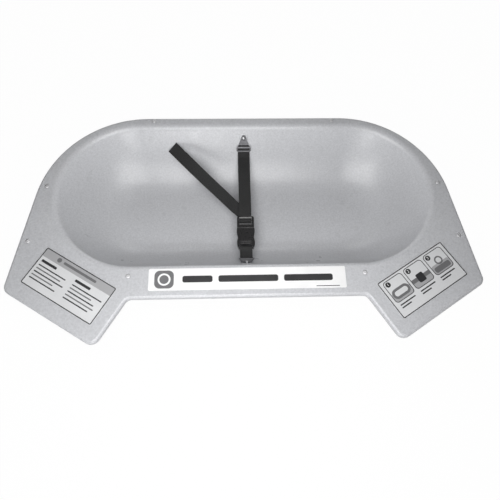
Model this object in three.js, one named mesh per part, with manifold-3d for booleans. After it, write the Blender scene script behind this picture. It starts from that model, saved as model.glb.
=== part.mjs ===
// Drop-in baby changing tray with a buckled safety belt.
// Millimetres, +Z up. The origin is at the bowl's centre in plan, on the counter plane under the lip.
// +Y points to the back of the counter, +X to the right of a person standing in front.

import * as THREE from 'three';
import { mergeVertices } from 'three/addons/utils/BufferGeometryUtils.js';
import Module from 'manifold-3d';

// Clearances
const SEAT_GAP = 0.3;
const OVERCUT = 2;

// Bowl
const BOWL_HALF_LENGTH = 378;
const BOWL_HALF_WIDTH = 161.5;
const BOWL_DEPTH = 95;
const BOWL_WALL = 5;
const RIM_RADIUS = 10;
const RIM_TURN = THREE.MathUtils.degToRad(60);
const WALL_INSET = 4.33;
const WALL_FALL = 2.5;
const REAR_RUN = 120;
const FRONT_RUN = 92;
const END_RUN = 128;
const WALL_POWER = 2.2;

// Outline of the flange, measured from the bowl's rim
const BACK_MARGIN = 14.8;
const FRONT_MARGIN = 59.1;
const BACK_CORNER_REACH = 5.1;
const BACK_CORNER_MARGIN = 55.1;
const WING_REACH = 73.2;
const WING_FORWARD = 38.9;
const WING_ANGLE = THREE.MathUtils.degToRad(32);
const WING_END_LENGTH = 204.3;
const WING_CORNER_RADIUS = 17;
const NOTCH_CORNER_RADIUS = 13;

// Flange and lip
const LIP_HEIGHT = 12;
const LIP_WALL = 5;
const FLANGE_THICKNESS = 5;
const EDGE_RADIUS = 5;

// Flange screws
const FLANGE_BOSS_RADIUS = 7.5;
const FLANGE_SHANK_RADIUS = 2.2;
const FLANGE_HEAD_RADIUS = 4.6;
const FLANGE_HEAD_DOME = 1.3;
const FLANGE_SINK_DEPTH = 2.8;
const FLANGE_BITE = 22;
const SCREW_SIDE_INSET = 16.4;
const SIDE_SCREW_Y = 14.7;
const WING_SCREW_Y = -103.7;
const FRONT_SCREW_SETBACK = 43.2;

// Webbing
const STRAP_WIDTH = 25.4;
const STRAP_THICKNESS = 1.3;
const BELT_DROP = 50;
const SEWN_LENGTH = 48;
const WEBBING_TURN = 5;
const WRAP_LEAD = 3;
const WRAP_EASE = 0.4;
const WRAP_RISE = 0.8;

// Anchor plates
const PLATE_THICKNESS = 2;
const PLATE_TIP_RADIUS = 6;
const PLATE_TAB_WIDTH = 23.4;
const PLATE_TAB_LENGTH = 11;
const PLATE_END_WIDTH = 31;
const PLATE_STEP = 5;
const PLATE_STEP_START = 8;
const PLATE_STEP_END = 13;
const PLATE_CORNER = 3;
const SLOT_WIDTH = 2.9;
const SLOT_LENGTH = 26.4;
const MIDDLE_BAR = 3;
const END_BAR = 5.2;
const FIRST_SLOT = 14;
const ANCHOR_PAD = 1;
const ANCHOR_PAD_RADIUS = 8.5;

// Anchor screws, washers and nuts
const BOLT_RADIUS = 2.4;
const BOLT_HEAD_RADIUS = 4.4;
const BOLT_HEAD_HEIGHT = 2.6;
const WASHER_RADIUS = 8;
const WASHER_THICKNESS = 1.5;
const NUT_RADIUS = 4.7;
const NUT_HEIGHT = 5;
const BOLT_PROUD = 2;

// Buckle, along the belt: the mouth is where the two halves meet
const MOUTH_Y = -61.5;
const MALE_LENGTH = 27;
const MALE_WIDTH = 35;
const MALE_THICKNESS = 8;
const MALE_CORNER = 4;
const LADDER_WIDTH = 26.6;
const LADDER_END_BAR = 4;
const LADDER_SLOT = 3.6;
const LADDER_MIDDLE_BAR = 3.2;
const LADDER_MOUTH = 5;
const LADDER_BAR_HALF = 1.5;
const LADDER_BAR_ROOT = 1;
const TONGUE_WIDTH = 7;
const TONGUE_LENGTH = 19;
const TONGUE_THICKNESS = 3.4;
const TONGUE_CORNER = 2;
const FEMALE_LENGTH = 44;
const FEMALE_MOUTH_WIDTH = 37;
const FEMALE_WAIST_WIDTH = 31.5;
const FEMALE_END_WIDTH = 36;
const FEMALE_THICKNESS = 11;
const FEMALE_MOUTH_EASE = 0.7;
const FEMALE_END_EASE = 3;
const FEMALE_WALL = 1.8;
const COLLAR_LENGTH = 12;
const WINDOW_LENGTH = 15;
const FEMALE_SLOT = 4.6;
const FEMALE_SLOT_LENGTH = 27;
const FEMALE_BAR = 3.4;
const FEMALE_BAR_FACE = 1;
const PRONG_THICKNESS = 5.6;
const PRONG_ARM = 4.4;
const PRONG_LENGTH = 26;
const PRONG_PLAY = 1.6;
const PRONG_BARB = 2.4;
const PRONG_BARB_LEAN = 0.6;
const PRONG_TIP = 7;
const PRONG_TIP_CUT = 1;
const BUCKLE_ROUND = 0.8;

// Labels
const LABEL_THICKNESS = 0.5;
const WING_LABEL = [160, 81];
const WING_LABEL_SETBACK = 69.7;
const WING_LABEL_SHIFT = 3.7;
const FRONT_LABEL = [370, 42.7];
const FRONT_LABEL_SHIFT = 5.3;
const LABEL_CORNER = 3;

// Free end of the belt, in shares of the way from the ladder's end to the rear rim: right, back, up
const TAIL_ROUTE = [
  [0, -0.013, 0],
  [-0.01, 0.018, 0],
  [-0.041, 0.064, 0],
  [-0.11, 0.128, 0.008],
  [-0.23, 0.232, 0.061],
  [-0.406, 0.39, 0.122],
  [-0.589, 0.579, 0.148],
  [-0.783, 0.819, 0.105],
];

// Facets
const ROUND = 24;
const ARC = 20;
const BIG_CORNER_STEPS = 14;
const SMALL_CORNER_STEPS = 6;
const EDGE_STEPS = 4;
const RIM_STEPS = 4;
const WALL_STEPS = 11;
const TAIL_STEPS = 28;

const { Vector2, Vector3, Matrix4, Shape, Path } = THREE;
const wasm = await Module();
wasm.setup();

// Materials
function finish(color, roughness, metalness = 0) {
  return new THREE.MeshStandardMaterial({ color, roughness, metalness });
}
const moulded = finish(0xb9babc, 0.55);
const steel = finish(0xc9cacc, 0.3, 1);
const webbing = finish(0x1c1c1e, 0.9);
const acetal = finish(0x141416, 0.4);
const vinyl = finish(0xf0f0ee, 0.45);

// Solids for joining and cutting
function solid(geometry) {
  const bare = geometry.clone();
  bare.deleteAttribute('normal');
  bare.deleteAttribute('uv');
  const merged = mergeVertices(bare, 1e-4);
  const mesh = new wasm.Mesh({
    numProp: 3,
    vertProperties: new Float32Array(merged.attributes.position.array),
    triVerts: new Uint32Array(merged.index.array),
  });
  return new wasm.Manifold(mesh);
}

function geometryOf(body) {
  const mesh = body.getMesh();
  const geometry = new THREE.BufferGeometry();
  geometry.setAttribute('position', new THREE.BufferAttribute(mesh.vertProperties, 3));
  geometry.setIndex(new THREE.BufferAttribute(mesh.triVerts, 1));
  geometry.computeVertexNormals();
  return geometry;
}

// A closed loft through rings that hold the same number of points, capped flat at both ends
function loft(rings) {
  const count = rings[0].length;
  const positions = rings.flatMap((ring) => ring.flatMap((point) => [point.x, point.y, point.z]));
  const index = [];
  for (let level = 0; level < rings.length - 1; level += 1) {
    for (let at = 0; at < count; at += 1) {
      const next = (at + 1) % count;
      const a = level * count + at;
      const b = level * count + next;
      index.push(a, b, b + count, a, b + count, a + count);
    }
  }
  const flat = rings[0].map((point) => capPoint(rings[0], point));
  const lastStart = (rings.length - 1) * count;
  for (const [a, b, c] of THREE.ShapeUtils.triangulateShape(flat, [])) {
    index.push(a, c, b, lastStart + a, lastStart + b, lastStart + c);
  }
  const geometry = new THREE.BufferGeometry();
  geometry.setAttribute('position', new THREE.Float32BufferAttribute(positions, 3));
  geometry.setIndex(index);
  return geometry;
}

// A cap's point in the plane of its own ring
function capPoint(ring, point) {
  const across = ring[1].clone().sub(ring[0]).normalize();
  const normal = new Vector3();
  for (let at = 0; at < ring.length; at += 1) {
    normal.add(ring[at].clone().cross(ring[(at + 1) % ring.length]));
  }
  const up = normal.normalize().clone().cross(across);
  return new Vector2(point.dot(across), point.dot(up));
}

// Extrusion along Z, centred on a height, with rounded or plain edges
function slab(shape, thickness, middle = 0, round = 0) {
  const geometry = new THREE.ExtrudeGeometry(shape, {
    depth: thickness - 2 * round,
    bevelEnabled: round > 0,
    bevelThickness: round,
    bevelSize: round,
    bevelOffset: -round,
    bevelSegments: 2,
    curveSegments: SMALL_CORNER_STEPS,
  });
  return geometry.translate(0, 0, middle - thickness / 2 + round);
}

function box(x0, x1, y0, y1, z0, z1) {
  const geometry = new THREE.BoxGeometry(x1 - x0, y1 - y0, z1 - z0);
  return geometry.translate((x0 + x1) / 2, (y0 + y1) / 2, (z0 + z1) / 2);
}

function revolve(profile, sides = ROUND) {
  const points = profile.map(([radius, height]) => new Vector2(radius, height));
  return new THREE.LatheGeometry(points, sides).rotateX(Math.PI / 2);
}

function rod(radius, bottom, top, sides = ROUND) {
  return revolve([[0, bottom], [radius, bottom], [radius, top], [0, top]], sides);
}

// Rounded polygon: virtual corners, one fillet radius each, drawn at a given inset
function insetCorners(corners, inset) {
  const lines = corners.map((corner, at) => {
    const along = corners[(at + 1) % corners.length].clone().sub(corner).normalize();
    const inward = new Vector2(-along.y, along.x);
    return { point: corner.clone().addScaledVector(inward, inset), along };
  });
  return lines.map((line, at) => {
    const before = lines[(at + lines.length - 1) % lines.length];
    const gap = line.point.clone().sub(before.point);
    const share = gap.cross(line.along) / before.along.cross(line.along);
    return before.point.clone().addScaledVector(before.along, share);
  });
}

function roundedRing(corners, radii, steps, inset, height) {
  const points = insetCorners(corners, inset);
  return points.flatMap((corner, at) => {
    const back = points[(at + points.length - 1) % points.length].clone().sub(corner).normalize();
    const ahead = points[(at + 1) % points.length].clone().sub(corner).normalize();
    const convex = back.cross(ahead) < 0;
    const radius = Math.max(radii[at] + (convex ? -inset : inset), 0.5);
    const half = Math.acos(THREE.MathUtils.clamp(back.dot(ahead), -1, 1)) / 2;
    const centre = back.clone().add(ahead).normalize().multiplyScalar(radius / Math.sin(half)).add(corner);
    const start = back.clone().multiplyScalar(radius / Math.tan(half)).add(corner).sub(centre);
    const turn = (convex ? 1 : -1) * (Math.PI - 2 * half);
    const ring = [];
    for (let step = 0; step <= steps[at]; step += 1) {
      const spoke = start.clone().rotateAround(new Vector2(), (turn * step) / steps[at]).add(centre);
      ring.push(new Vector3(spoke.x, spoke.y, height));
    }
    return ring;
  });
}

// Plan of the flange
const backEdgeY = BOWL_HALF_WIDTH + BACK_MARGIN;
const notchY = -BOWL_HALF_WIDTH - FRONT_MARGIN;
const backCorner = new Vector2(BOWL_HALF_LENGTH + BACK_CORNER_REACH, backEdgeY);
const wingOuter = new Vector2(BOWL_HALF_LENGTH + WING_REACH, -BOWL_HALF_WIDTH - WING_FORWARD);
const wingTip = new Vector2(
  wingOuter.x - WING_END_LENGTH * Math.cos(WING_ANGLE),
  wingOuter.y - WING_END_LENGTH * Math.sin(WING_ANGLE),
);
const notchX = wingTip.x - (notchY - wingTip.y) * Math.tan(WING_ANGLE);
const rightCorners = [new Vector2(notchX, notchY), wingTip, wingOuter, backCorner];
const leftCorners = rightCorners.map((corner) => new Vector2(-corner.x, corner.y)).reverse();
const outlineCorners = [...rightCorners, ...leftCorners];
const backRadius = BOWL_HALF_WIDTH + BACK_CORNER_MARGIN;
const sideRadii = [NOTCH_CORNER_RADIUS, WING_CORNER_RADIUS, WING_CORNER_RADIUS, backRadius];
const outlineRadii = [...sideRadii, ...sideRadii.slice().reverse()];
const sideSteps = [SMALL_CORNER_STEPS, SMALL_CORNER_STEPS, SMALL_CORNER_STEPS, BIG_CORNER_STEPS];
const outlineSteps = [...sideSteps, ...sideSteps.slice().reverse()];

function flangeRing(inset, height) {
  return roundedRing(outlineCorners, outlineRadii, outlineSteps, inset, height);
}

// A point on the flange at a given distance inside the flared side edge
function sidePoint(y, inset) {
  const along = backCorner.clone().sub(wingOuter).normalize();
  const share = (y - wingOuter.y) / (backCorner.y - wingOuter.y);
  const edgeX = THREE.MathUtils.lerp(wingOuter.x, backCorner.x, share);
  return new Vector2(edgeX - inset / along.y, y);
}

// Bowl: a wall that flattens out into the floor, with a rounded rim that runs into its upper end
const wallDepth = BOWL_DEPTH - WALL_FALL;
const rimFall = RIM_RADIUS * (1 - Math.cos(RIM_TURN));
const rimShare = 1 - (1 - (rimFall - WALL_FALL) / wallDepth) ** (1 / WALL_POWER);

function wallDrop(share) {
  return WALL_FALL + wallDepth * (1 - (1 - share) ** WALL_POWER);
}

function wallSlope(share, run) {
  const rise = wallDepth * WALL_POWER * (1 - share) ** (WALL_POWER - 1);
  return Math.atan2(rise, run - WALL_INSET);
}

const bowlStations = [];
for (let step = 0; step <= RIM_STEPS; step += 1) {
  const slope = (RIM_TURN * step) / RIM_STEPS;
  const drop = RIM_RADIUS * (1 - Math.cos(slope));
  const reach = WALL_INSET - RIM_RADIUS * (Math.sin(RIM_TURN) - Math.sin(slope));
  bowlStations.push({ reach, share: rimShare, drop, slope });
}
for (let step = 1; step <= WALL_STEPS; step += 1) {
  const share = THREE.MathUtils.lerp(rimShare, 1, step / WALL_STEPS);
  const slope = wallSlope(share, (REAR_RUN + FRONT_RUN) / 2);
  bowlStations.push({ reach: WALL_INSET, share, drop: wallDrop(share), slope });
}

// One stadium-shaped ring of the bowl, moved outwards through the wall by its thickness
function bowlRing({ reach, share, drop, slope }, thickness) {
  const inset = (run) => reach + share * (run - WALL_INSET) - thickness * Math.sin(slope);
  const rear = BOWL_HALF_WIDTH - inset(REAR_RUN);
  const front = -BOWL_HALF_WIDTH + inset(FRONT_RUN);
  const radius = (rear - front) / 2;
  const middle = (rear + front) / 2;
  const centre = BOWL_HALF_LENGTH - inset(END_RUN) - radius;
  const height = LIP_HEIGHT - drop - thickness * Math.cos(slope);
  const ring = [];
  for (const side of [1, -1]) {
    for (let step = 0; step <= ARC; step += 1) {
      const angle = Math.PI * (step / ARC - 0.5);
      ring.push(new Vector3(
        side * (centre + radius * Math.cos(angle)),
        middle + side * radius * Math.sin(angle),
        height,
      ));
    }
  }
  return ring;
}

function lifted(ring, height) {
  return ring.map((point) => new Vector3(point.x, point.y, height));
}

function bowlSolid(thickness, top) {
  const rings = bowlStations.map((station) => bowlRing(station, thickness));
  return solid(loft([...rings.reverse(), lifted(rings[rings.length - 1], top)]));
}

// Anchor places on the straight parts of the rear and front walls
const firstSlotEnd = FIRST_SLOT + SLOT_WIDTH;
const middleBarAt = firstSlotEnd + MIDDLE_BAR / 2;
const secondSlot = firstSlotEnd + MIDDLE_BAR;
const endBarAt = secondSlot + SLOT_WIDTH;
const plateLength = endBarAt + END_BAR;
const plateSeat = ANCHOR_PAD + SEAT_GAP;
const barHeight = plateSeat + PLATE_THICKNESS / 2 + PLATE_STEP;
const layerHeight = barHeight - PLATE_THICKNESS / 2 - SEAT_GAP - STRAP_THICKNESS;
const beltHeight = LIP_HEIGHT - BELT_DROP;

function wallFrame(side, run, share) {
  const slope = wallSlope(share, run);
  const y = side * (BOWL_HALF_WIDTH - WALL_INSET - share * (run - WALL_INSET));
  return {
    point: new Vector3(0, y, LIP_HEIGHT - wallDrop(share)),
    down: new Vector3(0, -side * Math.cos(slope), -Math.sin(slope)),
    normal: new Vector3(0, -side * Math.sin(slope), Math.cos(slope)),
    across: new Vector3(-side, 0, 0),
  };
}

function onPlate(frame, along, height) {
  return frame.point.clone().addScaledVector(frame.down, along).addScaledVector(frame.normal, height);
}

// Slides the plate along its wall until the webbing leaves its end bar at the belt's height
function seatAnchor(side, run) {
  let low = 0;
  let high = 0.8;
  for (let pass = 0; pass < 50; pass += 1) {
    const middle = (low + high) / 2;
    const exit = onPlate(wallFrame(side, run, middle), plateLength + WEBBING_TURN, layerHeight);
    if (exit.z > beltHeight) low = middle;
    else high = middle;
  }
  return wallFrame(side, run, low);
}

function frameMatrix({ point, down, normal, across }) {
  return new Matrix4().makeBasis(across, down, normal).setPosition(point);
}

const rearFrame = seatAnchor(1, REAR_RUN);
const frontFrame = seatAnchor(-1, FRONT_RUN);

// Tray: flange with lip, bowl, screw bosses and anchor pads
function screwPlaces() {
  const places = {
    back: new Vector2(BOWL_HALF_LENGTH / 2, (BOWL_HALF_WIDTH + backEdgeY) / 2),
    side: sidePoint(SIDE_SCREW_Y, SCREW_SIDE_INSET),
    wing: sidePoint(WING_SCREW_Y, SCREW_SIDE_INSET),
    front: new Vector2(notchX, notchY + FRONT_SCREW_SETBACK),
  };
  return Object.entries(places).flatMap(([name, place]) => [
    { name: `screw_${name}_left`, x: -place.x, y: place.y },
    { name: `screw_${name}_right`, x: place.x, y: place.y },
  ]);
}

function flangeSolid() {
  const rings = [flangeRing(0, 0)];
  for (let step = 0; step <= EDGE_STEPS; step += 1) {
    const angle = (Math.PI / 2) * (step / EDGE_STEPS);
    const inset = EDGE_RADIUS * (1 - Math.cos(angle));
    rings.push(flangeRing(inset, LIP_HEIGHT - EDGE_RADIUS + EDGE_RADIUS * Math.sin(angle)));
  }
  const under = LIP_HEIGHT - FLANGE_THICKNESS;
  const pocket = loft([flangeRing(LIP_WALL, -OVERCUT), flangeRing(LIP_WALL, under)]);
  return solid(loft(rings)).subtract(solid(pocket));
}

function flangeScrewHole() {
  const sink = FLANGE_HEAD_RADIUS + SEAT_GAP;
  const bore = FLANGE_SHANK_RADIUS + SEAT_GAP;
  return revolve([
    [0, -OVERCUT],
    [bore, -OVERCUT],
    [bore, LIP_HEIGHT - FLANGE_SINK_DEPTH - SEAT_GAP],
    [sink, LIP_HEIGHT],
    [sink, LIP_HEIGHT + OVERCUT],
    [0, LIP_HEIGHT + OVERCUT],
  ]);
}

function trayGeometry() {
  const inner = bowlSolid(0, LIP_HEIGHT + OVERCUT);
  const under = LIP_HEIGHT - FLANGE_THICKNESS;
  let tray = flangeSolid().add(bowlSolid(BOWL_WALL, under + FLANGE_THICKNESS / 2));
  for (const { x, y } of screwPlaces()) {
    tray = tray.add(solid(rod(FLANGE_BOSS_RADIUS, 0, under + FLANGE_THICKNESS / 2).translate(x, y, 0)));
  }
  tray = tray.subtract(inner);
  for (const { x, y } of screwPlaces()) {
    tray = tray.subtract(solid(flangeScrewHole().translate(x, y, 0)));
  }
  for (const frame of [rearFrame, frontFrame]) {
    const turn = frameMatrix(frame);
    const pad = rod(ANCHOR_PAD_RADIUS, -BOWL_WALL - ANCHOR_PAD, ANCHOR_PAD);
    const bore = rod(BOLT_RADIUS + SEAT_GAP, -BOWL_WALL - ANCHOR_PAD - OVERCUT, ANCHOR_PAD + OVERCUT);
    tray = tray.add(solid(pad.applyMatrix4(turn))).subtract(solid(bore.applyMatrix4(turn)));
  }
  return geometryOf(tray);
}

// Flange screw: raised countersunk head, shank and point
function flangeScrewGeometry() {
  const top = LIP_HEIGHT;
  return revolve([
    [0, -FLANGE_BITE],
    [FLANGE_SHANK_RADIUS, -FLANGE_BITE + 2 * FLANGE_SHANK_RADIUS],
    [FLANGE_SHANK_RADIUS, top - FLANGE_SINK_DEPTH],
    [FLANGE_HEAD_RADIUS, top],
    [FLANGE_HEAD_RADIUS * 0.75, top + FLANGE_HEAD_DOME * 0.65],
    [FLANGE_HEAD_RADIUS * 0.4, top + FLANGE_HEAD_DOME * 0.93],
    [0, top + FLANGE_HEAD_DOME],
  ], ROUND / 2);
}

// Anchor plate: tapered outline cut from a sheet with a step in it
function plateOutline() {
  const half = PLATE_END_WIDTH / 2;
  const tabHalf = PLATE_TAB_WIDTH / 2;
  const ears = FIRST_SLOT - PLATE_THICKNESS / 2;
  const lean = Math.atan2(tabHalf - PLATE_TIP_RADIUS, PLATE_TAB_LENGTH);
  const shape = new Shape();
  shape.absarc(0, 0, PLATE_TIP_RADIUS, Math.PI - lean, 2 * Math.PI + lean, false);
  shape.lineTo(tabHalf, PLATE_TAB_LENGTH);
  shape.lineTo(half, ears);
  shape.lineTo(half, plateLength - PLATE_CORNER);
  shape.absarc(half - PLATE_CORNER, plateLength - PLATE_CORNER, PLATE_CORNER, 0, Math.PI / 2, false);
  shape.absarc(-half + PLATE_CORNER, plateLength - PLATE_CORNER, PLATE_CORNER, Math.PI / 2, Math.PI, false);
  shape.lineTo(-half, ears);
  shape.lineTo(-tabHalf, PLATE_TAB_LENGTH);
  shape.closePath();
  return shape;
}

// A band of even thickness along a line in the YZ plane, as wide as asked along X
function band(points, thickness, width) {
  const left = [];
  const right = [];
  points.forEach((point, at) => {
    const before = points[Math.max(at - 1, 0)];
    const after = points[Math.min(at + 1, points.length - 1)];
    const into = point.clone().sub(before).normalize();
    const out = after.clone().sub(point).normalize();
    const along = into.clone().add(out).normalize();
    const stretch = Math.max(along.dot(at > 0 ? into : out), 0.5);
    const normal = new Vector2(-along.y, along.x).multiplyScalar(thickness / 2 / stretch);
    left.push(point.clone().add(normal));
    right.unshift(point.clone().sub(normal));
  });
  const geometry = new THREE.ExtrudeGeometry(new Shape([...left, ...right]), {
    depth: width,
    bevelEnabled: false,
  });
  const turn = new Matrix4().makeBasis(new Vector3(0, 1, 0), new Vector3(0, 0, 1), new Vector3(1, 0, 0));
  return geometry.translate(0, 0, -width / 2).applyMatrix4(turn);
}

function plateGeometry() {
  const middle = PLATE_THICKNESS / 2 + plateSeat;
  const line = [
    new Vector2(-PLATE_TIP_RADIUS - OVERCUT, middle),
    new Vector2(PLATE_STEP_START, middle),
    new Vector2(PLATE_STEP_END, middle + PLATE_STEP),
    new Vector2(plateLength + OVERCUT, middle + PLATE_STEP),
  ];
  const sheet = solid(band(line, PLATE_THICKNESS, PLATE_END_WIDTH + 2 * OVERCUT));
  const tall = 4 * (PLATE_STEP + PLATE_THICKNESS);
  let plate = sheet.intersect(solid(slab(plateOutline(), tall)));
  for (const start of [FIRST_SLOT, secondSlot]) {
    const half = SLOT_LENGTH / 2;
    plate = plate.subtract(solid(box(-half, half, start, start + SLOT_WIDTH, -tall, tall)));
  }
  return geometryOf(plate.subtract(solid(rod(BOLT_RADIUS + SEAT_GAP, -tall, tall))));
}

const washerTop = -BOWL_WALL - ANCHOR_PAD - SEAT_GAP;
const nutTop = washerTop - WASHER_THICKNESS - SEAT_GAP;
const boltSeat = plateSeat + PLATE_THICKNESS + SEAT_GAP;

function anchorScrewGeometry() {
  const dome = boltSeat + BOLT_HEAD_HEIGHT;
  return revolve([
    [0, nutTop - NUT_HEIGHT - BOLT_PROUD],
    [BOLT_RADIUS, nutTop - NUT_HEIGHT - BOLT_PROUD],
    [BOLT_RADIUS, boltSeat],
    [BOLT_HEAD_RADIUS, boltSeat],
    [BOLT_HEAD_RADIUS, dome - BOLT_HEAD_HEIGHT * 0.6],
    [BOLT_HEAD_RADIUS * 0.8, dome - BOLT_HEAD_HEIGHT * 0.2],
    [BOLT_HEAD_RADIUS * 0.45, dome],
    [0, dome],
  ], ROUND * 2 / 3);
}

function washerGeometry() {
  const bore = BOLT_RADIUS + SEAT_GAP;
  const bottom = washerTop - WASHER_THICKNESS;
  return revolve([
    [bore, bottom],
    [WASHER_RADIUS, bottom],
    [WASHER_RADIUS, washerTop],
    [bore, washerTop],
    [bore, bottom],
  ]);
}

function nutGeometry() {
  const shape = new Shape();
  for (let corner = 0; corner < 6; corner += 1) {
    const angle = (Math.PI / 3) * corner;
    const at = [NUT_RADIUS * Math.cos(angle), NUT_RADIUS * Math.sin(angle)];
    if (corner === 0) shape.moveTo(...at);
    else shape.lineTo(...at);
  }
  const bore = new Path();
  bore.absarc(0, 0, BOLT_RADIUS + SEAT_GAP, 0, 2 * Math.PI, true);
  shape.holes.push(bore);
  return slab(shape, NUT_HEIGHT, nutTop - NUT_HEIGHT / 2);
}

// Webbing
const loopInner = Math.hypot(MIDDLE_BAR, PLATE_THICKNESS) / 2 + SEAT_GAP;
const loopOuter = loopInner + STRAP_THICKNESS;

function plane(point) {
  return new Vector2(point.y, point.z);
}

// A ring of webbing round a bar, with its axis along X
function webbingLoop(centre, inner, outer) {
  const shape = new Shape();
  shape.absarc(0, 0, outer, 0, 2 * Math.PI, false);
  const hole = new Path();
  hole.absarc(0, 0, inner, 0, 2 * Math.PI, true);
  shape.holes.push(hole);
  const geometry = slab(shape, STRAP_WIDTH).rotateY(Math.PI / 2);
  return solid(geometry.translate(0, centre.y, centre.z));
}

// Both layers of a sewn end: from the middle bar, behind the end bar, out to the belt's line
function sewnRun(frame, outward) {
  const start = plane(onPlate(frame, middleBarAt, layerHeight));
  const behind = plane(onPlate(frame, plateLength, layerHeight));
  const exit = plane(onPlate(frame, plateLength + WEBBING_TURN, layerHeight));
  const turn = new THREE.QuadraticBezierCurve(behind, exit, new Vector2(exit.x + outward, beltHeight));
  return [start, ...turn.getPoints(SMALL_CORNER_STEPS)];
}

const rearBar = onPlate(rearFrame, middleBarAt, barHeight);
const frontBar = onPlate(frontFrame, middleBarAt, barHeight);

// Ladder bars of the male half, from its free end towards the mouth
const ladderEnd = MOUTH_Y + MALE_LENGTH;
const ladderSlotAt = ladderEnd - LADDER_END_BAR;
const ladderBarAt = ladderSlotAt - LADDER_SLOT;
const ladderMouthAt = ladderBarAt - LADDER_MIDDLE_BAR;
const underBar = -LADDER_BAR_HALF - SEAT_GAP - STRAP_THICKNESS / 2;
const overBar = LADDER_BAR_HALF + SEAT_GAP + STRAP_THICKNESS / 2;
const tailLevel = -MALE_THICKNESS / 2 - SEAT_GAP - STRAP_THICKNESS / 2;

function mainStrapGeometry() {
  const sewn = sewnRun(rearFrame, -2 * WEBBING_TURN);
  const begin = sewn[sewn.length - 1];
  const sewnEnd = new Vector2(begin.x - SEWN_LENGTH, beltHeight);
  const slotMiddle = ladderSlotAt - LADDER_SLOT / 2;
  const mouthMiddle = ladderMouthAt - STRAP_THICKNESS / 2 - 2 * SEAT_GAP;
  const level = (y, z) => new Vector2(y, beltHeight + z);
  const wrap = [
    level(ladderEnd + STRAP_WIDTH, 0),
    level(ladderEnd + WRAP_LEAD, underBar),
    level(ladderSlotAt + WRAP_EASE, underBar),
    level(slotMiddle + WRAP_EASE, underBar + WRAP_RISE),
    level(slotMiddle - WRAP_EASE, overBar - WRAP_RISE),
    level(ladderBarAt - WRAP_EASE, overBar),
    level(ladderMouthAt + WRAP_EASE, overBar),
    level(mouthMiddle, overBar - WRAP_RISE),
    level(mouthMiddle, tailLevel + WRAP_RISE),
    level(ladderMouthAt + WRAP_EASE, tailLevel),
    level(ladderBarAt - WRAP_EASE, tailLevel),
  ];
  const single = solid(band([begin, sewnEnd, ...wrap], STRAP_THICKNESS, STRAP_WIDTH));
  const double = solid(band([...sewn, sewnEnd], 2 * STRAP_THICKNESS, STRAP_WIDTH));
  const bar = solid(barBlank(rearFrame));
  return geometryOf(double.subtract(bar).add(webbingLoop(rearBar, loopInner, loopOuter)).add(single));
}

// The space inside a webbing loop, kept free for its bar
function barBlank(frame) {
  const bar = onPlate(frame, middleBarAt, barHeight);
  return rod(loopInner, -STRAP_WIDTH, STRAP_WIDTH).rotateY(Math.PI / 2).translate(0, bar.y, bar.z);
}

const femaleEnd = MOUTH_Y - SEAT_GAP - FEMALE_LENGTH;
const femaleBarAt = femaleEnd + FEMALE_BAR / 2;
const femaleLoopInner = FEMALE_BAR / Math.SQRT2 + SEAT_GAP;
const femaleLoopOuter = femaleLoopInner + STRAP_THICKNESS;

function shortStrapGeometry() {
  const sewn = sewnRun(frontFrame, (femaleBarAt - frontBar.y) / 3);
  const join = new Vector3(0, femaleBarAt, beltHeight);
  const reach = new Vector2(femaleBarAt - femaleLoopInner - STRAP_THICKNESS / 2, beltHeight);
  const run = solid(band([...sewn, reach], 2 * STRAP_THICKNESS, STRAP_WIDTH));
  const blank = rod(femaleLoopInner, -STRAP_WIDTH, STRAP_WIDTH).rotateY(Math.PI / 2);
  const kept = solid(blank.translate(0, join.y, join.z));
  const loops = webbingLoop(frontBar, loopInner, loopOuter).add(webbingLoop(join, femaleLoopInner, femaleLoopOuter));
  return geometryOf(run.subtract(solid(barBlank(frontFrame))).subtract(kept).add(loops));
}

// The loose tail: a flat section carried along its route, level across its width
function strapTailGeometry() {
  const origin = new Vector3(0, ladderEnd, beltHeight + tailLevel);
  const start = new Vector3(0, ladderBarAt + SEAT_GAP, origin.z);
  const reach = BOWL_HALF_WIDTH - ladderEnd;
  const route = TAIL_ROUTE.map((share) => new Vector3(...share).multiplyScalar(reach).add(origin));
  const curve = new THREE.CatmullRomCurve3([start, ...route], false, 'centripetal');
  const rings = [];
  for (let step = 0; step <= TAIL_STEPS; step += 1) {
    const share = step / TAIL_STEPS;
    const point = curve.getPointAt(share);
    const along = curve.getTangentAt(share);
    const side = new Vector3(along.y, -along.x, 0).normalize().multiplyScalar(STRAP_WIDTH / 2);
    const up = side.clone().cross(along).normalize().multiplyScalar(STRAP_THICKNESS / 2);
    const corners = [[-1, -1], [1, -1], [1, 1], [-1, 1]];
    rings.push(corners.map(([a, b]) => point.clone().addScaledVector(side, a).addScaledVector(up, b)));
  }
  return loft(rings.reverse());
}

// Buckle, male half: ladder frame, body and guide tongue
function roundedBox(x0, x1, y0, y1, radius) {
  const shape = new Shape();
  shape.absarc(x1 - radius, y0 + radius, radius, -Math.PI / 2, 0, false);
  shape.absarc(x1 - radius, y1 - radius, radius, 0, Math.PI / 2, false);
  shape.absarc(x0 + radius, y1 - radius, radius, Math.PI / 2, Math.PI, false);
  shape.absarc(x0 + radius, y0 + radius, radius, Math.PI, Math.PI * 1.5, false);
  shape.closePath();
  return shape;
}

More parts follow.
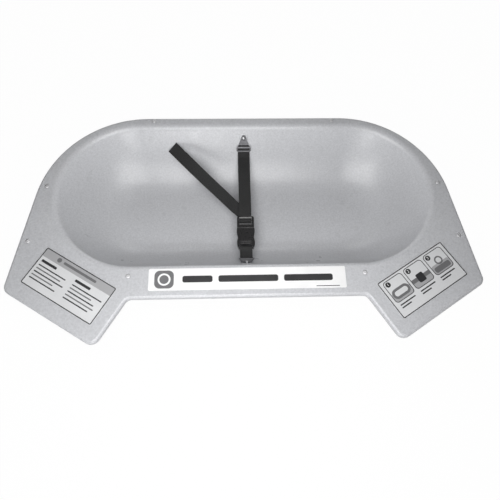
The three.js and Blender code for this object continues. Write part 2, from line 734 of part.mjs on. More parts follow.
function buckleMaleGeometry() {
  const half = MALE_WIDTH / 2;
  const inner = LADDER_WIDTH / 2;
  const deep = MALE_THICKNESS;
  const shell = slab(roundedBox(-half, half, MOUTH_Y, ladderEnd, MALE_CORNER), MALE_THICKNESS, 0, BUCKLE_ROUND);
  const opening = box(-inner, inner, ladderMouthAt - LADDER_MOUTH, ladderEnd + OVERCUT, -deep, deep);
  const bars = [[ladderSlotAt, ladderEnd - BUCKLE_ROUND], [ladderMouthAt, ladderBarAt]];
  let male = solid(shell).subtract(solid(opening));
  for (const [from, to] of bars) {
    const reach = inner + LADDER_BAR_ROOT;
    const bar = box(-reach, reach, from, to, -LADDER_BAR_HALF, LADDER_BAR_HALF);
    male = male.add(solid(bar));
  }
  const tongueHalf = TONGUE_WIDTH / 2;
  const ends = [MOUTH_Y - TONGUE_LENGTH, MOUTH_Y + TONGUE_CORNER];
  const tongue = roundedBox(-tongueHalf, tongueHalf, ...ends, TONGUE_CORNER);
  male = male.add(solid(slab(tongue, TONGUE_THICKNESS)));
  return geometryOf(male.translate([0, 0, beltHeight]));
}

// Prong: a curved arm with a locking barb behind the collar and a rounded tip
const prongTop = MOUTH_Y - SEAT_GAP;
const prongOuter = FEMALE_MOUTH_WIDTH / 2 - FEMALE_WALL - 2 * SEAT_GAP - PRONG_PLAY;
const barbAt = MOUTH_Y - SEAT_GAP - COLLAR_LENGTH - 2 * SEAT_GAP;

function prongShape(side) {
  const shape = new Shape();
  const tipY = prongTop - PRONG_LENGTH;
  const inside = prongOuter - PRONG_ARM;
  const out = (x) => side * x;
  const root = PRONG_ARM / 2;
  const turns = side > 0 ? [Math.PI, 0, true] : [0, Math.PI, false];
  shape.absarc(out(prongOuter - root), prongTop - root, root, ...turns);
  shape.lineTo(out(prongOuter), barbAt);
  const barb = prongOuter + PRONG_BARB;
  shape.lineTo(out(barb), barbAt - PRONG_BARB_LEAN);
  shape.quadraticCurveTo(out(barb), tipY + PRONG_TIP / 2, out(prongOuter - PRONG_TIP_CUT), tipY);
  shape.quadraticCurveTo(out(inside), tipY, out(inside), tipY + PRONG_TIP);
  shape.closePath();
  return shape;
}

function prongGeometry(side) {
  return slab(prongShape(side), PRONG_THICKNESS, beltHeight, BUCKLE_ROUND / 2);
}

// Buckle, female half: waisted sleeve with a mouth, side windows and a webbing bar
function femaleOutline() {
  const mouth = MOUTH_Y - SEAT_GAP;
  const waist = mouth - COLLAR_LENGTH - WINDOW_LENGTH / 2;
  const halves = [FEMALE_MOUTH_WIDTH / 2, FEMALE_WAIST_WIDTH / 2, FEMALE_END_WIDTH / 2];
  const curve = new THREE.SplineCurve([
    new Vector2(halves[0] - FEMALE_MOUTH_EASE, mouth),
    new Vector2(halves[0], mouth - COLLAR_LENGTH * 0.4),
    new Vector2(halves[0] - FEMALE_MOUTH_EASE, mouth - COLLAR_LENGTH),
    new Vector2(halves[1], waist),
    new Vector2(halves[2] - FEMALE_MOUTH_EASE / 2, mouth - COLLAR_LENGTH - WINDOW_LENGTH),
    new Vector2(halves[2], femaleEnd + FEMALE_BAR + FEMALE_SLOT),
    new Vector2(halves[2] - FEMALE_END_EASE, femaleEnd),
  ]);
  const right = curve.getPoints(ARC);
  const left = right.map((point) => new Vector2(-point.x, point.y)).reverse();
  return new Shape([...left, ...right]);
}

function buckleFemaleGeometry() {
  const mouth = MOUTH_Y - SEAT_GAP;
  const windowTop = mouth - COLLAR_LENGTH;
  const windowEnd = windowTop - WINDOW_LENGTH;
  const cavityHalf = prongOuter + SEAT_GAP;
  const cavityHeight = PRONG_THICKNESS / 2 + SEAT_GAP;
  const side = FEMALE_MOUTH_WIDTH;
  const slotTop = femaleEnd + FEMALE_BAR + FEMALE_SLOT;
  const slotHalf = FEMALE_SLOT_LENGTH / 2;
  const barFace = femaleEnd + FEMALE_BAR + FEMALE_BAR_FACE;
  const cavity = box(-cavityHalf, cavityHalf, windowEnd, mouth + OVERCUT, -cavityHeight, cavityHeight);
  const window = box(-side, side, windowEnd, windowTop, -cavityHeight, cavityHeight);
  const slot = box(-slotHalf, slotHalf, femaleEnd + FEMALE_BAR, slotTop, -side, side);
  const thin = FEMALE_BAR / 2;
  let female = solid(slab(femaleOutline(), FEMALE_THICKNESS, 0, BUCKLE_ROUND * 1.5));
  for (const cut of [cavity, window, slot]) female = female.subtract(solid(cut));
  for (const sign of [1, -1]) {
    const faces = [sign * thin, sign * side].sort((a, b) => a - b);
    const relief = box(-slotHalf, slotHalf, femaleEnd - OVERCUT, barFace, ...faces);
    female = female.subtract(solid(relief));
  }
  return geometryOf(female.translate([0, 0, beltHeight]));
}

// Labels: thin blank plates on the flange
function labelGeometry([length, width]) {
  const shape = roundedBox(-length / 2, length / 2, -width / 2, width / 2, LABEL_CORNER);
  return slab(shape, LABEL_THICKNESS, LIP_HEIGHT + SEAT_GAP + LABEL_THICKNESS / 2);
}

function wingLabelPlace() {
  const along = new Vector2(Math.cos(WING_ANGLE), Math.sin(WING_ANGLE));
  const inward = new Vector2(-along.y, along.x);
  const middle = wingOuter.clone().add(wingTip).multiplyScalar(0.5);
  return middle.addScaledVector(inward, WING_LABEL_SETBACK).addScaledVector(along, WING_LABEL_SHIFT);
}

// Assembly
function piece(name, geometry, material) {
  const mesh = new THREE.Mesh(geometry, material);
  mesh.name = name;
  return mesh;
}

function anchor(end, frame) {
  const group = new THREE.Group();
  group.applyMatrix4(frameMatrix(frame));
  group.add(piece(`${end}_anchor_plate`, plateGeometry(), steel));
  group.add(piece(`${end}_anchor_screw`, anchorScrewGeometry(), steel));
  group.add(piece(`${end}_backing_washer`, washerGeometry(), steel));
  group.add(piece(`${end}_lock_nut`, nutGeometry(), steel));
  return group;
}

const station = new THREE.Group();
station.add(piece('tray', trayGeometry(), moulded));
for (const { name, x, y } of screwPlaces()) {
  const screw = piece(name, flangeScrewGeometry(), steel);
  screw.position.set(x, y, 0);
  station.add(screw);
}
station.add(anchor('rear', rearFrame));
station.add(anchor('front', frontFrame));
station.add(piece('main_strap', mainStrapGeometry(), webbing));
station.add(piece('strap_tail', strapTailGeometry(), webbing));
station.add(piece('short_strap', shortStrapGeometry(), webbing));
station.add(piece('buckle_male', buckleMaleGeometry(), acetal));
station.add(piece('prong_left', prongGeometry(-1), acetal));
station.add(piece('prong_right', prongGeometry(1), acetal));
station.add(piece('buckle_female', buckleFemaleGeometry(), acetal));

const wingPlace = wingLabelPlace();
for (const [name, side] of [['label_left', -1], ['label_right', 1]]) {
  const label = piece(name, labelGeometry(WING_LABEL), vinyl);
  label.position.set(side * wingPlace.x, wingPlace.y, 0);
  label.rotation.z = side * WING_ANGLE;
  station.add(label);
}
const frontLabel = piece('label_front', labelGeometry(FRONT_LABEL), vinyl);
frontLabel.position.y = (notchY - BOWL_HALF_WIDTH) / 2 + FRONT_LABEL_SHIFT;
station.add(frontLabel);

export default station;
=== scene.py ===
"""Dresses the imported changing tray: moulding, fixings, belt, buckle, labels and a studio."""

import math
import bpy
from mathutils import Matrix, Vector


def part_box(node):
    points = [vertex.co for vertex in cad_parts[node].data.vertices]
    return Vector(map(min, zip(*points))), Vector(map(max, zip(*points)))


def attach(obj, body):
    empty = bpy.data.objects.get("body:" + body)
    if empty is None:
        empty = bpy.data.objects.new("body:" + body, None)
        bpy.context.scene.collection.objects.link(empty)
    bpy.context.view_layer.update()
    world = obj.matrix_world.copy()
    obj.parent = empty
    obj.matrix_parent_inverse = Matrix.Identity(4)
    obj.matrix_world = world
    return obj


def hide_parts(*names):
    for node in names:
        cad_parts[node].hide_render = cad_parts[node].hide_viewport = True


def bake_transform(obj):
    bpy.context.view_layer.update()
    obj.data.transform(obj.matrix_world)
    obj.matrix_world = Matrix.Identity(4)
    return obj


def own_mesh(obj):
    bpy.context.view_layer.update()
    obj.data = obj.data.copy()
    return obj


bl_info = {
    "name": "Changing tray",
    "version": (1, 0, 0),
    "blender": (4, 5, 0),
    "location": "3D View > Sidebar > Changing tray",
    "description": "Models the pieces of a drop-in changing tray around its CAD frame",
    "category": "Object",
}

import bmesh
import bpy
from bpy.props import FloatProperty, FloatVectorProperty, IntProperty, PointerProperty
from mathutils import Matrix, Vector

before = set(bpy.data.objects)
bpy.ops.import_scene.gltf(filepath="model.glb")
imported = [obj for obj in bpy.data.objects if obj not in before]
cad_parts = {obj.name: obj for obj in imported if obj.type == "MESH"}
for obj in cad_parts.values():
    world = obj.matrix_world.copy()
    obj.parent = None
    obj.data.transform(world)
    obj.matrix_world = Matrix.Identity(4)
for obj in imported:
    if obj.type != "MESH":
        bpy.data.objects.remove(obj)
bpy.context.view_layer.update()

MM = 0.001
TAU = 2 * math.pi
SIDES = (("left", -1), ("right", 1))


def mm(*values):
    """Metres from millimetres."""
    return [value * MM for value in values]


def moved(x=0.0, y=0.0, z=0.0):
    """The matrix of a plain move."""
    return Matrix.Translation((x, y, z))


def both(half):
    """The low and high side of a form that reaches as far to both sides of zero."""
    return -half, half


# Settings


def length(name, description, millimetres):
    """A size that a user may change."""
    metres = millimetres * MM
    return FloatProperty(name=name, description=description, default=metres, unit="LENGTH", precision=5)


def colour(name, description, *rgb):
    """A colour that a user may change."""
    return FloatVectorProperty(name=name, description=description, default=rgb, min=0, max=1, subtype="COLOR")


def power(name, description, watts):
    """The power of a light that a user may change."""
    return FloatProperty(name=name, description=description, default=watts, unit="POWER")


class TraySizes(bpy.types.PropertyGroup):
    """Sizes and colour of the moulded tray."""

    bowl_half_length: length("Bowl half length", "From the middle to the rim at one end", 378)
    bowl_half_width: length("Bowl half width", "From the middle to the rim at the back", 161.5)
    bowl_depth: length("Bowl depth", "From the flange down to the floor", 95)
    rear_run: length("Rear run", "Plan length of the rear wall", 120)
    front_run: length("Front run", "Plan length of the front wall", 92)
    end_run: length("End run", "Plan length of the end walls", 128)
    wall_power: FloatProperty(name="Wall curve", description="How soon the wall flattens", default=2.2, min=1)
    rim_radius: length("Rim radius", "Rounding of the bowl's front rim", 10)
    lip_height: length("Lip height", "Height of the flange above the counter", 12)
    edge_radius: length("Edge radius", "Rounding of the flange's outer edge", 5)
    skin: length("Skin", "Thickness of the moulding", 4.8)
    arc_steps: IntProperty(name="Arc steps", description="Edges in half a turn of the rim", default=56, min=8)
    grey: colour("Moulding", "Colour of the moulding", 0.552, 0.558, 0.578)


class BeltSizes(bpy.types.PropertyGroup):
    """Sizes and colours of the belt and its buckle."""

    width: length("Webbing width", "Width of the webbing", 25.4)
    thickness: length("Webbing thickness", "Thickness of the webbing", 1.25)
    level: length("Belt level", "Height of the belt's middle line", -38)
    webbing: colour("Webbing", "Colour of the webbing", 0.037, 0.037, 0.0375)
    acetal: colour("Buckle", "Colour of the buckle", 0.02, 0.0195, 0.02)
    steel: colour("Steel", "Colour of the anchors", 0.2, 0.2, 0.21)


class LabelSizes(bpy.types.PropertyGroup):
    """Sizes and colours of the labels."""

    wing_length: length("Wing label length", "Long side of the labels on the wings", 160)
    wing_width: length("Wing label width", "Short side of the labels on the wings", 81)
    front_length: length("Front label length", "Long side of the label at the front", 370)
    front_width: length("Front label width", "Short side of the label at the front", 42.7)
    vinyl: colour("Front vinyl", "Colour of the label at the front", 0.89, 0.89, 0.89)
    wing_vinyl: colour("Wing vinyl", "Colour of the labels on the wings", 0.7, 0.705, 0.715)
    dark_ink: colour("Dark ink", "Colour of the printed lines", 0.03, 0.03, 0.032)
    grey_ink: colour("Grey ink", "Colour of the printed shapes", 0.16, 0.16, 0.165)
    pale_ink: colour("Pale ink", "Colour of the printed fields", 0.4, 0.4, 0.41)


class StudioSettings(bpy.types.PropertyGroup):
    """Light and floor of the studio."""

    key_power: power("Key light", "Power of the light near the camera", 6.45)
    low_power: power("Low light", "Power of the low light in front", 4.6)
    back_power: power("Back light", "Power of the far light behind", 12)
    fill: FloatProperty(name="Fill", description="Light all round", default=0.05, min=0, subtype="FACTOR")
    floor: colour("Floor", "Colour of the floor as it lights the object", 0.3, 0.3, 0.3)


# Selecting and editing


def clear_selection():
    """Leaves edit mode and selects nothing."""
    if bpy.context.mode != "OBJECT":
        bpy.ops.object.mode_set(mode="OBJECT")
    bpy.ops.object.select_all(action="DESELECT")


def take(*objects):
    """Selects these objects alone; the first one is active."""
    clear_selection()
    for piece in objects:
        piece.select_set(True)
    bpy.context.view_layer.objects.active = objects[0]


def called(piece, name):
    """Names a piece and its data."""
    piece.name = piece.data.name = name
    return piece


def shape(make, name, **settings):
    """A new piece from one of Blender's own makers."""
    clear_selection()
    make(**settings)
    return called(bpy.context.active_object, name)


def edit(piece):
    """Opens a piece for editing."""
    take(piece)
    bpy.ops.object.mode_set(mode="EDIT")


def done(name):
    """Leaves edit mode and names the piece."""
    bpy.ops.object.mode_set(mode="OBJECT")
    return called(bpy.context.active_object, name)


def select_all():
    """Selects the whole edited mesh."""
    bpy.ops.mesh.select_all(action="SELECT")


def choose(kind, test):
    """Selects the vertices, edges or faces of the edited mesh that pass the test."""
    mesh = bpy.context.edit_object.data
    bpy.ops.mesh.select_mode(type=kind)
    bpy.ops.mesh.select_all(action="DESELECT")
    made = bmesh.from_edit_mesh(mesh)
    items = {"VERT": made.verts, "EDGE": made.edges, "FACE": made.faces}[kind]
    items.index_update()
    found = [item for item in items if not item.hide and test(item)]
    if not found:
        raise RuntimeError(f"{mesh.name}: nothing to select")
    for item in found:
        item.select_set(True)
    made.select_flush_mode()
    bmesh.update_edit_mesh(mesh)


def chosen():
    """The places of the selected vertices of the edited mesh, by number."""
    made = bmesh.from_edit_mesh(bpy.context.edit_object.data)
    made.verts.index_update()
    return {vertex.index: vertex.co.copy() for vertex in made.verts if vertex.select}


def pen():
    """Where the one selected vertex is."""
    return next(iter(chosen().values()))


def middle_of(item):
    """Middle of an edge or a face."""
    points = [vertex.co for vertex in item.verts]
    return sum(points, Vector()) / len(points)


def shift(x=0.0, y=0.0, z=0.0):
    """Moves what is selected."""
    bpy.ops.transform.translate(value=(x, y, z))


def extrude(x=0.0, y=0.0, z=0.0):
    """Extrudes what is selected."""
    bpy.ops.mesh.extrude_region_move(TRANSFORM_OT_translate={"value": (x, y, z)})


def merge_doubles():
    """Joins vertices that share a place."""
    select_all()
    bpy.ops.mesh.remove_doubles(threshold=0.001 * MM)


def face_outwards():
    """Turns all the faces of the edited mesh outwards."""
    select_all()
    bpy.ops.mesh.normals_make_consistent(inside=False)


def outwards(piece):
    """Turns all the faces of a piece outwards."""
    edit(piece)
    face_outwards()
    return done(piece.name)


# Drawing outlines and blanks


def start_point(x, y, z=0.0):
    """A new object with one vertex, left in edit mode."""
    edit(shape(bpy.ops.mesh.primitive_circle_add, "outline", vertices=3, radius=MM))
    choose("VERT", lambda vertex: vertex.co.y < 0)
    bpy.ops.mesh.delete(type="VERT")
    select_all()
    shift(x, y - MM, z)


def trace(start, moves):
    """Draws a closed line from the selected vertex. A move is a point, or an arc's centre, turn and steps."""
    here = Vector(start).to_2d()
    for move in [*moves, start]:
        if len(move) == 3:
            centre, turn, steps = Vector(move[0]), move[1], move[2]
            bpy.ops.mesh.spin(steps=steps, angle=-turn, center=(*centre, pen().z), axis=(0, 0, 1))
            here = centre + Matrix.Rotation(turn, 2) @ (here - centre)
        else:
            step = Vector(move) - here
            if step.length > 1e-7:
                extrude(step.x, step.y)
            here = Vector(move)


def rounded(corners, radii, steps):
    """Start and moves that draw a polygon with round corners."""
    moves = []
    for at, corner in enumerate(corners):
        corner = Vector(corner)
        back = (Vector(corners[at - 1]) - corner).normalized()
        ahead = (Vector(corners[(at + 1) % len(corners)]) - corner).normalized()
        half = math.acos(max(-1, min(1, back.dot(ahead)))) / 2
        turn = (1 if back.cross(ahead) < 0 else -1) * (math.pi - 2 * half)
        centre = corner + (back + ahead).normalized() * radii[at] / math.sin(half)
        moves += [corner + back * radii[at] / math.tan(half), (centre, turn, steps[at])]
    return moves[0], moves[1:]


def rounded_box(x, y, radius, steps):
    """Start and moves of a box with round corners, from its low and high sides."""
    corners = [(x[0], y[0]), (x[1], y[0]), (x[1], y[1]), (x[0], y[1])]
    return rounded(corners, [radius] * 4, [steps] * 4)


def curve(first, lean, last, steps):
    """Points of a curve from the first to the last that leans towards another, without the first."""
    points = []
    for step in range(1, steps + 1):
        share = step / steps
        points.append(first.lerp(lean, share).lerp(lean.lerp(last, share), share))
    return points


def outline_face(start, moves, z=0.0):
    """One flat face, facing up, inside an outline. Left in edit mode and selected."""
    start_point(*start, z)
    trace(start, moves)
    merge_doubles()
    select_all()
    bpy.ops.mesh.edge_face_add()
    bpy.ops.mesh.select_mode(type="FACE")
    select_all()
    made = bmesh.from_edit_mesh(bpy.context.edit_object.data)
    made.normal_update()
    made.faces.ensure_lookup_table()
    if made.faces[0].normal.z < 0:
        bpy.ops.mesh.flip_normals()


def plate(start, moves, bottom, top, name):
    """A flat plate with an outline, from one height to another."""
    outline_face(start, moves, bottom)
    extrude(z=top - bottom)
    face_outwards()
    return done(name)


def slab(x, y, z, radius, name, steps=6):
    """A flat plate with round corners, from its low and high sides."""
    return plate(*rounded_box(x, y, radius, steps), *z, name)


def block(x, y, z, name):
    """A plain block, from its low and high sides."""
    made = shape(bpy.ops.mesh.primitive_cube_add, name, size=1)
    middle = moved(*(sum(sides) / 2 for sides in (x, y, z)))
    return place(made, middle @ Matrix.Diagonal([*(high - low for low, high in (x, y, z)), 1]))


def turned(profile, name, steps=40):
    """A turned piece: a profile of radius and height, spun round Z."""
    here = profile[0]
    start_point(here[0], 0, here[1])
    for radius, height in profile[1:]:
        extrude(radius - here[0], 0, height - here[1])
        here = (radius, height)
    select_all()
    bpy.ops.mesh.spin(steps=steps, angle=TAU, center=(0, 0, 0), axis=(0, 0, 1))
    merge_doubles()
    face_outwards()
    return done(name)


def rod(radius, bottom, top, name, sides=40):
    """A plain round bar, used as a boss or as a cutter."""
    return turned([(0, bottom), (radius, bottom), (radius, top), (0, top)], name, sides)


# Finishing


def apply(piece, kind, **settings):
    """Adds a modifier and applies it."""
    take(piece)
    modifier = piece.modifiers.new(kind.title(), kind)
    for key, value in settings.items():
        setattr(modifier, key, value)
    bpy.ops.object.modifier_apply(modifier=modifier.name)
    return piece


def cut(piece, tool, operation="DIFFERENCE"):
    """Cuts or joins a piece with another, which is used up."""
    apply(piece, "BOOLEAN", object=tool, operation=operation, solver="EXACT")
    bpy.data.objects.remove(tool)
    return piece


def soften(piece, width, segments=3, angle=35):
    """Rounds the sharp edges of a piece."""
    limit = {"limit_method": "ANGLE", "angle_limit": math.radians(angle)}
    return apply(piece, "BEVEL", width=width, segments=segments, harden_normals=False, **limit)


def smooth(piece, angle=32):
    """Smooths the shading across gentle edges, and keeps flat faces flat."""
    take(piece)
    bpy.ops.object.shade_smooth_by_angle(angle=math.radians(angle))
    return apply(piece, "WEIGHTED_NORMAL", mode="FACE_AREA", weight=50, keep_sharp=True)


def join(name, *objects):
    """Makes several objects one piece."""
    take(*objects)
    bpy.ops.object.join()
    return called(bpy.context.active_object, name)


def place(piece, matrix):
    """Moves a piece to its place and puts the place in its mesh."""
    take(piece)
    piece.matrix_world = matrix
    bpy.ops.object.transform_apply(location=True, rotation=True, scale=True)
    return piece


def copy_of(piece, name, matrix):
    """A copy with its own mesh, in its place."""
    take(piece)
    bpy.ops.object.duplicate(linked=False)
    return place(called(bpy.context.active_object, name), matrix)


def give(piece, body, paint=None, instead=None):
    """Paints a piece, seats it on its body and lets it stand for its CAD node."""
    if paint:
        piece.data.materials.clear()
        piece.data.materials.append(finish(paint))
    if body:
        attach(piece, body)
    if instead:
        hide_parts(instead)
    return piece


# Textures


def add(tree, kind, sockets=None, **settings):
    """A node with its settings and its sockets' values or links."""
    made = tree.nodes.new(kind)
    for key, value in settings.items():
        setattr(made, key, value)
    for key, value in (sockets or {}).items():
        if isinstance(value, bpy.types.NodeSocket):
            tree.links.new(value, made.inputs[key])
        else:
            made.inputs[key].default_value = value
    return made


def maths(tree, operation, *values):
    """The result of a sum of values or links."""
    return add(tree, "ShaderNodeMath", dict(enumerate(values)), operation=operation).outputs[0]


def blend_colours(tree, share, first, second):
    """A colour between two others."""
    return add(tree, "ShaderNodeMix", {0: share, 6: first, 7: second}, data_type="RGBA").outputs[2]


def spread(tree, value, low, high, bottom=0.0, top=1.0):
    """Stretches a value from one range to another."""
    sockets = {"Value": value, "From Min": bottom, "From Max": top, "To Min": low, "To Max": high}
    return add(tree, "ShaderNodeMapRange", sockets).outputs["Result"]


def noise(tree, where, scale, detail, roughness=0.5):
    """A plain noise."""
    sockets = {"Vector": where, "Scale": scale, "Detail": detail, "Roughness": roughness}
    return add(tree, "ShaderNodeTexNoise", sockets).outputs["Fac"]


def strong_noise(*settings):
    """A noise whose middle is stretched over the whole range."""
    return spread(settings[0], noise(*settings), 0, 1, 0.3, 0.7)


def moulding_grain(tree, entry):
    """Pebbled skin of a moulding: fine grain, slow ripple, and pale and dark specks."""
    where = entry["Vector"]
    sockets = {"Vector": where, "Scale": entry["Scale"]}
    pebble = add(tree, "ShaderNodeTexVoronoi", sockets, feature="SMOOTH_F1").outputs["Distance"]
    ripple = noise(tree, where, 60.0, 2.0)
    return {
        "Height": maths(tree, "MULTIPLY_ADD", ripple, 1.6, pebble),
        "Specks": strong_noise(tree, where, 280.0, 4.0, 0.75),
        "Cloud": strong_noise(tree, where, 7.0, 3.0),
    }


def handling_marks(tree, entry):
    """Uneven gloss: smudges and fine rubbed streaks."""
    where = entry["Vector"]
    stretch = add(tree, "ShaderNodeMapping", {"Vector": where, "Scale": (60.0, 900.0, 900.0)})
    return {
        "Smudge": strong_noise(tree, where, 38.0, 4.0),
        "Streak": strong_noise(tree, stretch.outputs[0], 1.0, 3.0),
    }


def webbing_weave(tree, entry):
    """Warp-faced weave on the strip's own map, where 1 is the webbing's width."""
    across = add(tree, "ShaderNodeMapping", {"Vector": entry["Vector"], "Rotation": (0, 0, math.pi / 2)})
    bricks = {"Vector": across.outputs[0], "Scale": 1.0, "Mortar Size": 0.008, "Mortar Smooth": 1.0}
    bricks.update({"Brick Width": 0.085, "Row Height": 0.047, "Bias": 0.0})
    gap = add(tree, "ShaderNodeTexBrick", bricks, offset=0.5).outputs["Fac"]
    fuzz = noise(tree, entry["Vector"], 160.0, 3.0)
    height = maths(tree, "MULTIPLY_ADD", fuzz, 0.25, spread(tree, gap, 1, 0))
    return {"Height": height, "Gap": gap, "Fuzz": fuzz}


def texture(tree, make, where, **scale):
    """The outputs of a shared texture, whose node group is made the first time it is asked for."""
    name = make.__name__
    coordinates = tree.nodes.new("ShaderNodeTexCoord").outputs[where]
    if name not in bpy.data.node_groups:
        group = bpy.data.node_groups.new(name, "ShaderNodeTree")
        group.interface.new_socket("Vector", in_out="INPUT", socket_type="NodeSocketVector")
        for socket in scale:
            group.interface.new_socket(socket, in_out="INPUT", socket_type="NodeSocketFloat")
        outputs = make(group, group.nodes.new("NodeGroupInput").outputs)
        for socket in outputs:
            group.interface.new_socket(socket, in_out="OUTPUT", socket_type="NodeSocketFloat")
        add(group, "NodeGroupOutput", outputs)
    sockets = {"Vector": coordinates, **scale}
    return add(tree, "ShaderNodeGroup", sockets, node_tree=bpy.data.node_groups[name]).outputs


# Materials


def tinted(base, factor):
    """A lighter or darker tone of a colour."""
    return (*[min(1.0, channel * factor) for channel in base], 1.0)


def surface(name, base, grain, tones, roughness, relief, gloss=None, where="Object", **scale):
    """A material over a texture: two tones of a colour, a roughness or its range, and a relief."""
    material = bpy.data.materials.new(name)
    material.use_nodes = True
    tree = material.node_tree
    tree.nodes.clear()
    marks = texture(tree, grain, where, **scale)
    shine = texture(tree, gloss, where) if gloss else marks
    paint = blend_colours(tree, marks[tones[0]], tinted(base, tones[1]), tinted(base, tones[2]))
    bump = {"Height": marks[relief[0]], "Strength": relief[1], "Distance": relief[2]}
    normal = add(tree, "ShaderNodeBump", bump).outputs[0]
    if isinstance(roughness, tuple):
        roughness = spread(tree, shine[roughness[0]], *roughness[1:])
    sockets = {"Base Color": paint, "Roughness": roughness, "Normal": normal}
    shader = add(tree, "ShaderNodeBsdfPrincipled", sockets)
    add(tree, "ShaderNodeOutputMaterial", {"Surface": shader.outputs[0]})
    return tree, shader, marks, paint


def tray_finish(name, grey):
    """Satin grey polyethylene with a pebbled skin and faint specks."""
    settings = (moulding_grain, ("Cloud", 0.97, 1.03), ("Smudge", 0.27, 0.35), ("Height", 0.11, 0.35 * MM))
    tree, shader, grain, base = surface(name, grey, *settings, gloss=handling_marks, Scale=620.0)
    dark = blend_colours(tree, spread(tree, grain["Specks"], 0, 1, 0.1, 0.5), tinted(grey, 0.9), base)
    paint = blend_colours(tree, spread(tree, grain["Specks"], 0, 1, 0.5, 0.9), dark, tinted(grey, 1.1))
    tree.links.new(paint, shader.inputs["Base Color"])


def steel_finish(name, base, low, high):
    """Plain or plated steel with fine rubbed streaks."""
    tones, relief = ("Smudge", 0.88, 1.1), ("Streak", 0.08, 0.1 * MM)
    _, shader, _, _ = surface(name, base, handling_marks, tones, ("Streak", low, high), relief)
    shader.inputs["Metallic"].default_value = 1.0


def webbing_finish(name, base):
    """Black woven nylon with a dull sheen."""
    settings = (webbing_weave, ("Fuzz", 0.7, 1.6), 0.72, ("Height", 0.9, 0.35 * MM))
    tree, shader, weave, yarn = surface(name, base, *settings, where="UV")
    tree.links.new(blend_colours(tree, weave["Gap"], yarn, tinted(base, 0.2)), shader.inputs["Base Color"])
    shader.inputs["Specular IOR Level"].default_value = 0.25
    shader.inputs["Sheen Weight"].default_value = 0.03


def acetal_finish(name, base):
    """Black moulded acetal with a faint spark-eroded texture."""
    relief = ("Height", 0.06, 0.05 * MM)
    surface(name, base, moulding_grain, ("Cloud", 0.8, 1.4), ("Specks", 0.24, 0.34), relief, Scale=2600.0)


def print_finish(name, base, roughness):
    """Vinyl, ink or thread: a plain colour with slight unevenness."""
    gloss = ("Smudge", roughness - 0.06, roughness + 0.06)
    surface(name, base, handling_marks, ("Smudge", 0.97, 1.03), gloss, ("Smudge", 0.05, 0.1 * MM))


FINISHES = {
    "tray_moulding": (tray_finish, "tray_sizes.grey"),
    "plated_steel": (steel_finish, "belt_sizes.steel", 0.42, 0.56),
    "bright_steel": (steel_finish, (0.4, 0.4, 0.41), 0.26, 0.36),
    "satin_steel": (steel_finish, (0.78, 0.78, 0.79), 0.66, 0.78),
    "belt_webbing": (webbing_finish, "belt_sizes.webbing"),
    "thread": (print_finish, (0.035, 0.035, 0.036), 0.75),
    "buckle_acetal": (acetal_finish, "belt_sizes.acetal"),
    "vinyl": (print_finish, "label_sizes.vinyl", 0.4),
    "wing_vinyl": (print_finish, "label_sizes.wing_vinyl", 0.4),
    "dark_ink": (print_finish, "label_sizes.dark_ink", 0.45),
    "grey_ink": (print_finish, "label_sizes.grey_ink", 0.45),
    "pale_ink": (print_finish, "label_sizes.pale_ink", 0.45),
}


def finish(name):
    """A finish by its name, made the first time that a piece asks for it."""
    if name not in bpy.data.materials:
        make, base, *roughness = FINISHES[name]
        make(name, bpy.context.scene.path_resolve(base) if isinstance(base, str) else base, *roughness)
    return bpy.data.materials[name]


# Tray

BACK_MARGIN, FRONT_MARGIN = mm(14.8, 59.1)
BACK_CORNER_REACH, BACK_CORNER_MARGIN = mm(5.1, 55.1)
WING_REACH, WING_FORWARD, WING_END = mm(73.2, 38.9, 204.3)
WING_ANGLE = math.radians(32)
WING_CORNER, NOTCH_CORNER = mm(17, 13)
CORNER_STEPS = [8, 12, 10, 44]
RIM_TURN = math.radians(60)
WALL_INSET, WALL_FALL, REAR_SHIFT = mm(4.33, 2.5, 6)
ROLL_SHARE = 0.03
COLLAR = 1.5 * MM
EDGE_STEPS, RIM_STEPS, WALL_STEPS = 8, 8, 30
WALL_SPACING = 1.5
BOSS_RADIUS, PAD_RADIUS, PAD, GAP = mm(7.5, 8.5, 1, 0.3)
HEAD_RADIUS, SHANK_RADIUS, BOLT_RADIUS = mm(4.6, 2.2, 2.4)
SINK_DEPTH, SINK_EASE = mm(3.1, 0.2)
ANCHORS = {
    "rear": (1, 139.66 * MM, -9.55 * MM, math.radians(57.2)),
    "front": (-1, -148.0 * MM, -10.46 * MM, math.radians(63.81)),
}


def flange_corners(tray):
    """Corners of the flange's outline, from the notch round to the left."""
    wing = Vector((tray.bowl_half_length + WING_REACH, -tray.bowl_half_width - WING_FORWARD))
    tip = wing - WING_END * Vector((math.cos(WING_ANGLE), math.sin(WING_ANGLE)))
    notch_y = -tray.bowl_half_width - FRONT_MARGIN
    notch = Vector((tip.x - (notch_y - tip.y) * math.tan(WING_ANGLE), notch_y))
    back = Vector((tray.bowl_half_length + BACK_CORNER_REACH, tray.bowl_half_width + BACK_MARGIN))
    right = [notch, tip, wing, back]
    return right + [Vector((-corner.x, corner.y)) for corner in reversed(right)]


def screw_places():
    """Middle of each flange screw, from its CAD node."""
    names = [f"screw_{spot}_{side}" for spot in ("back", "side", "wing", "front") for side, _ in SIDES]
    return {name: sum(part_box(name), Vector()) / 2 for name in names}


def anchor_matrix(end):
    """Frame of an anchor plate: X across, Y down the wall, Z out of the wall."""
    side, y, z, slope = ANCHORS[end]
    down = Vector((0, -side * math.cos(slope), -math.sin(slope)))
    normal = Vector((0, -side * math.sin(slope), math.cos(slope)))
    turn = Matrix((Vector((-side, 0, 0)), down, normal)).transposed().to_4x4()
    return moved(0, y, z) @ turn


def wall_drop(tray, share):
    """How deep the wall lies below the flange at a share of its run."""
    return WALL_FALL + (tray.bowl_depth - WALL_FALL) * (1 - (1 - share) ** tray.wall_power)


